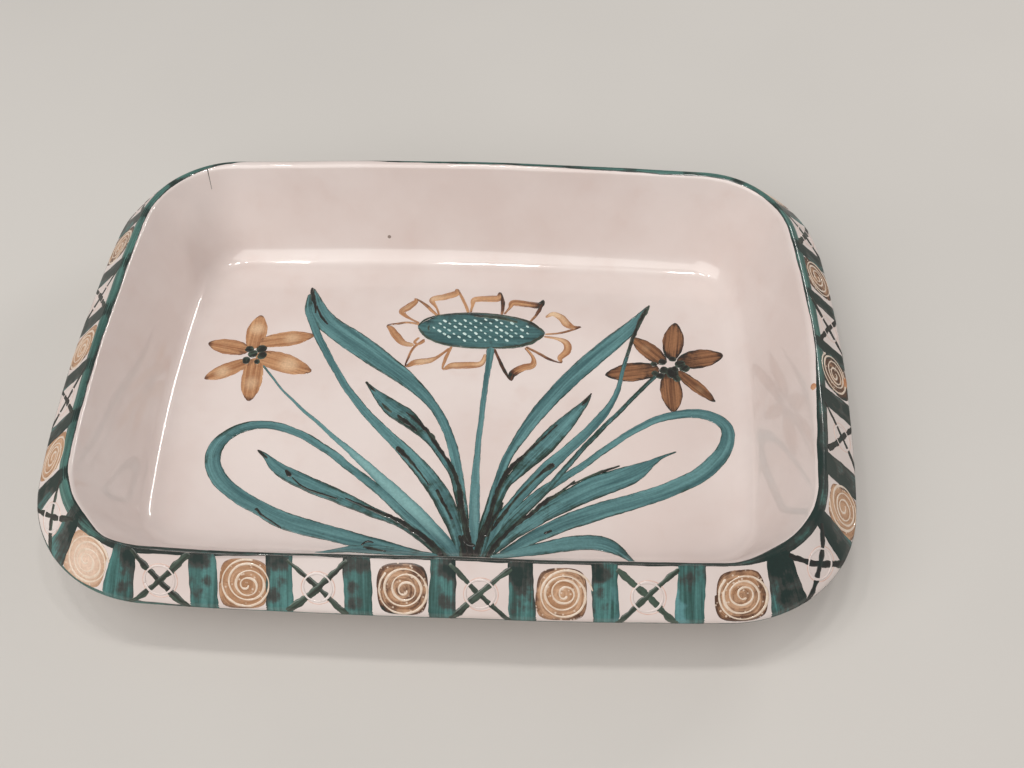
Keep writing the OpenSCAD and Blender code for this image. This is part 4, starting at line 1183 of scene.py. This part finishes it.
STAGE = 4.0  # half the floor's side, in metres
floor_mesh = bpy.data.meshes.new("stage_floor")
floor_mesh.from_pydata(
    [(STAGE * x, STAGE * y, 0) for x, y in ((-1, -1), (1, -1), (1, 1), (-1, 1))],
    [], [(0, 1, 2, 3)],
)
stage = bpy.data.objects.new("stage_floor", floor_mesh)
bpy.context.scene.collection.objects.link(stage)
paper = Shader("stage_paper", Roughness=0.9, Specular_IOR_Level=0.2)
paper.set("Base Color", paper.mix(
    paper.step(paper.noise(paper.place(), 3.0), 0.3, 0.7), rgb(206, 203, 199), rgb(210, 207, 203)
))
floor_mesh.materials.append(paper.material)

DAYLIGHT = (1.0, 0.97, 0.93)


def area_light(name, location, target, size, power):
    """A rectangular light at a place, turned to face the target. Metres and watts."""
    data = bpy.data.lights.new(name, "AREA")
    data.shape = "RECTANGLE"
    data.size, data.size_y = size
    data.energy = power
    data.color = DAYLIGHT
    lamp = bpy.data.objects.new(name, data)
    bpy.context.scene.collection.objects.link(lamp)
    lamp.location = location
    lamp.rotation_euler = (Vector(target) - Vector(location)).to_track_quat("-Z", "Y").to_euler()


# Three windows overhead, as place along X, width and watts, give the broken shine along the
# curve under the far wall. The side strip gives the one under the left wall.
WINDOWS = [(-0.38, 0.04, 1.1), (-0.07, 0.14, 2.3), (0.25, 0.08, 1.4)]
for number, (x, width, watts) in enumerate(WINDOWS):
    area_light(f"window_{number}", (x, 0.0, 1.5), (x, 0, 0.02), (width, 0.12), watts)
area_light("sky_light", (-0.78, -1.1, 1.9), (0, 0, 0.02), (2.6, 2.2), 39)
area_light("side_strip", (0.92, 0.83, 0.65), (-0.14, 0, 0.012), (0.5, 0.05), 3.0)

world = bpy.data.worlds.new("room")
bpy.context.scene.world = world
world.use_nodes = True
room = world.node_tree.nodes["Background"].inputs
room["Color"].default_value = (0.95, 0.94, 0.93, 1)
room["Strength"].default_value = 0.3
bpy.context.scene.view_settings.view_transform = "Standard"

# The camera of the photograph: angles in radians, focal length in mm, the point it looks at
ELEVATION, YAW, ROLL, FOCAL = 0.9285, 0.0505, -0.0129, 42.606
AIM, DISTANCE = Vector((0.02604, 0.01589, 0)), 0.6248
back = Vector((math.sin(YAW) * math.cos(ELEVATION), -math.cos(YAW) * math.cos(ELEVATION),
               math.sin(ELEVATION)))
right = Vector((0, 0, 1)).cross(back).normalized()
up = back.cross(right)
c, s = math.cos(ROLL), math.sin(ROLL)
right, up = right * c + up * s, up * c - right * s
camera_data = bpy.data.cameras.new("camera")
camera_data.lens, camera_data.sensor_width = FOCAL, 36.0
camera_data.clip_start, camera_data.clip_end = 0.01, 20
camera = bpy.data.objects.new("camera", camera_data)
bpy.context.scene.collection.objects.link(camera)
pose = Matrix((right, up, back)).transposed().to_4x4()
pose.translation = AIM + back * DISTANCE
camera.matrix_world = pose
bpy.context.scene.camera = camera
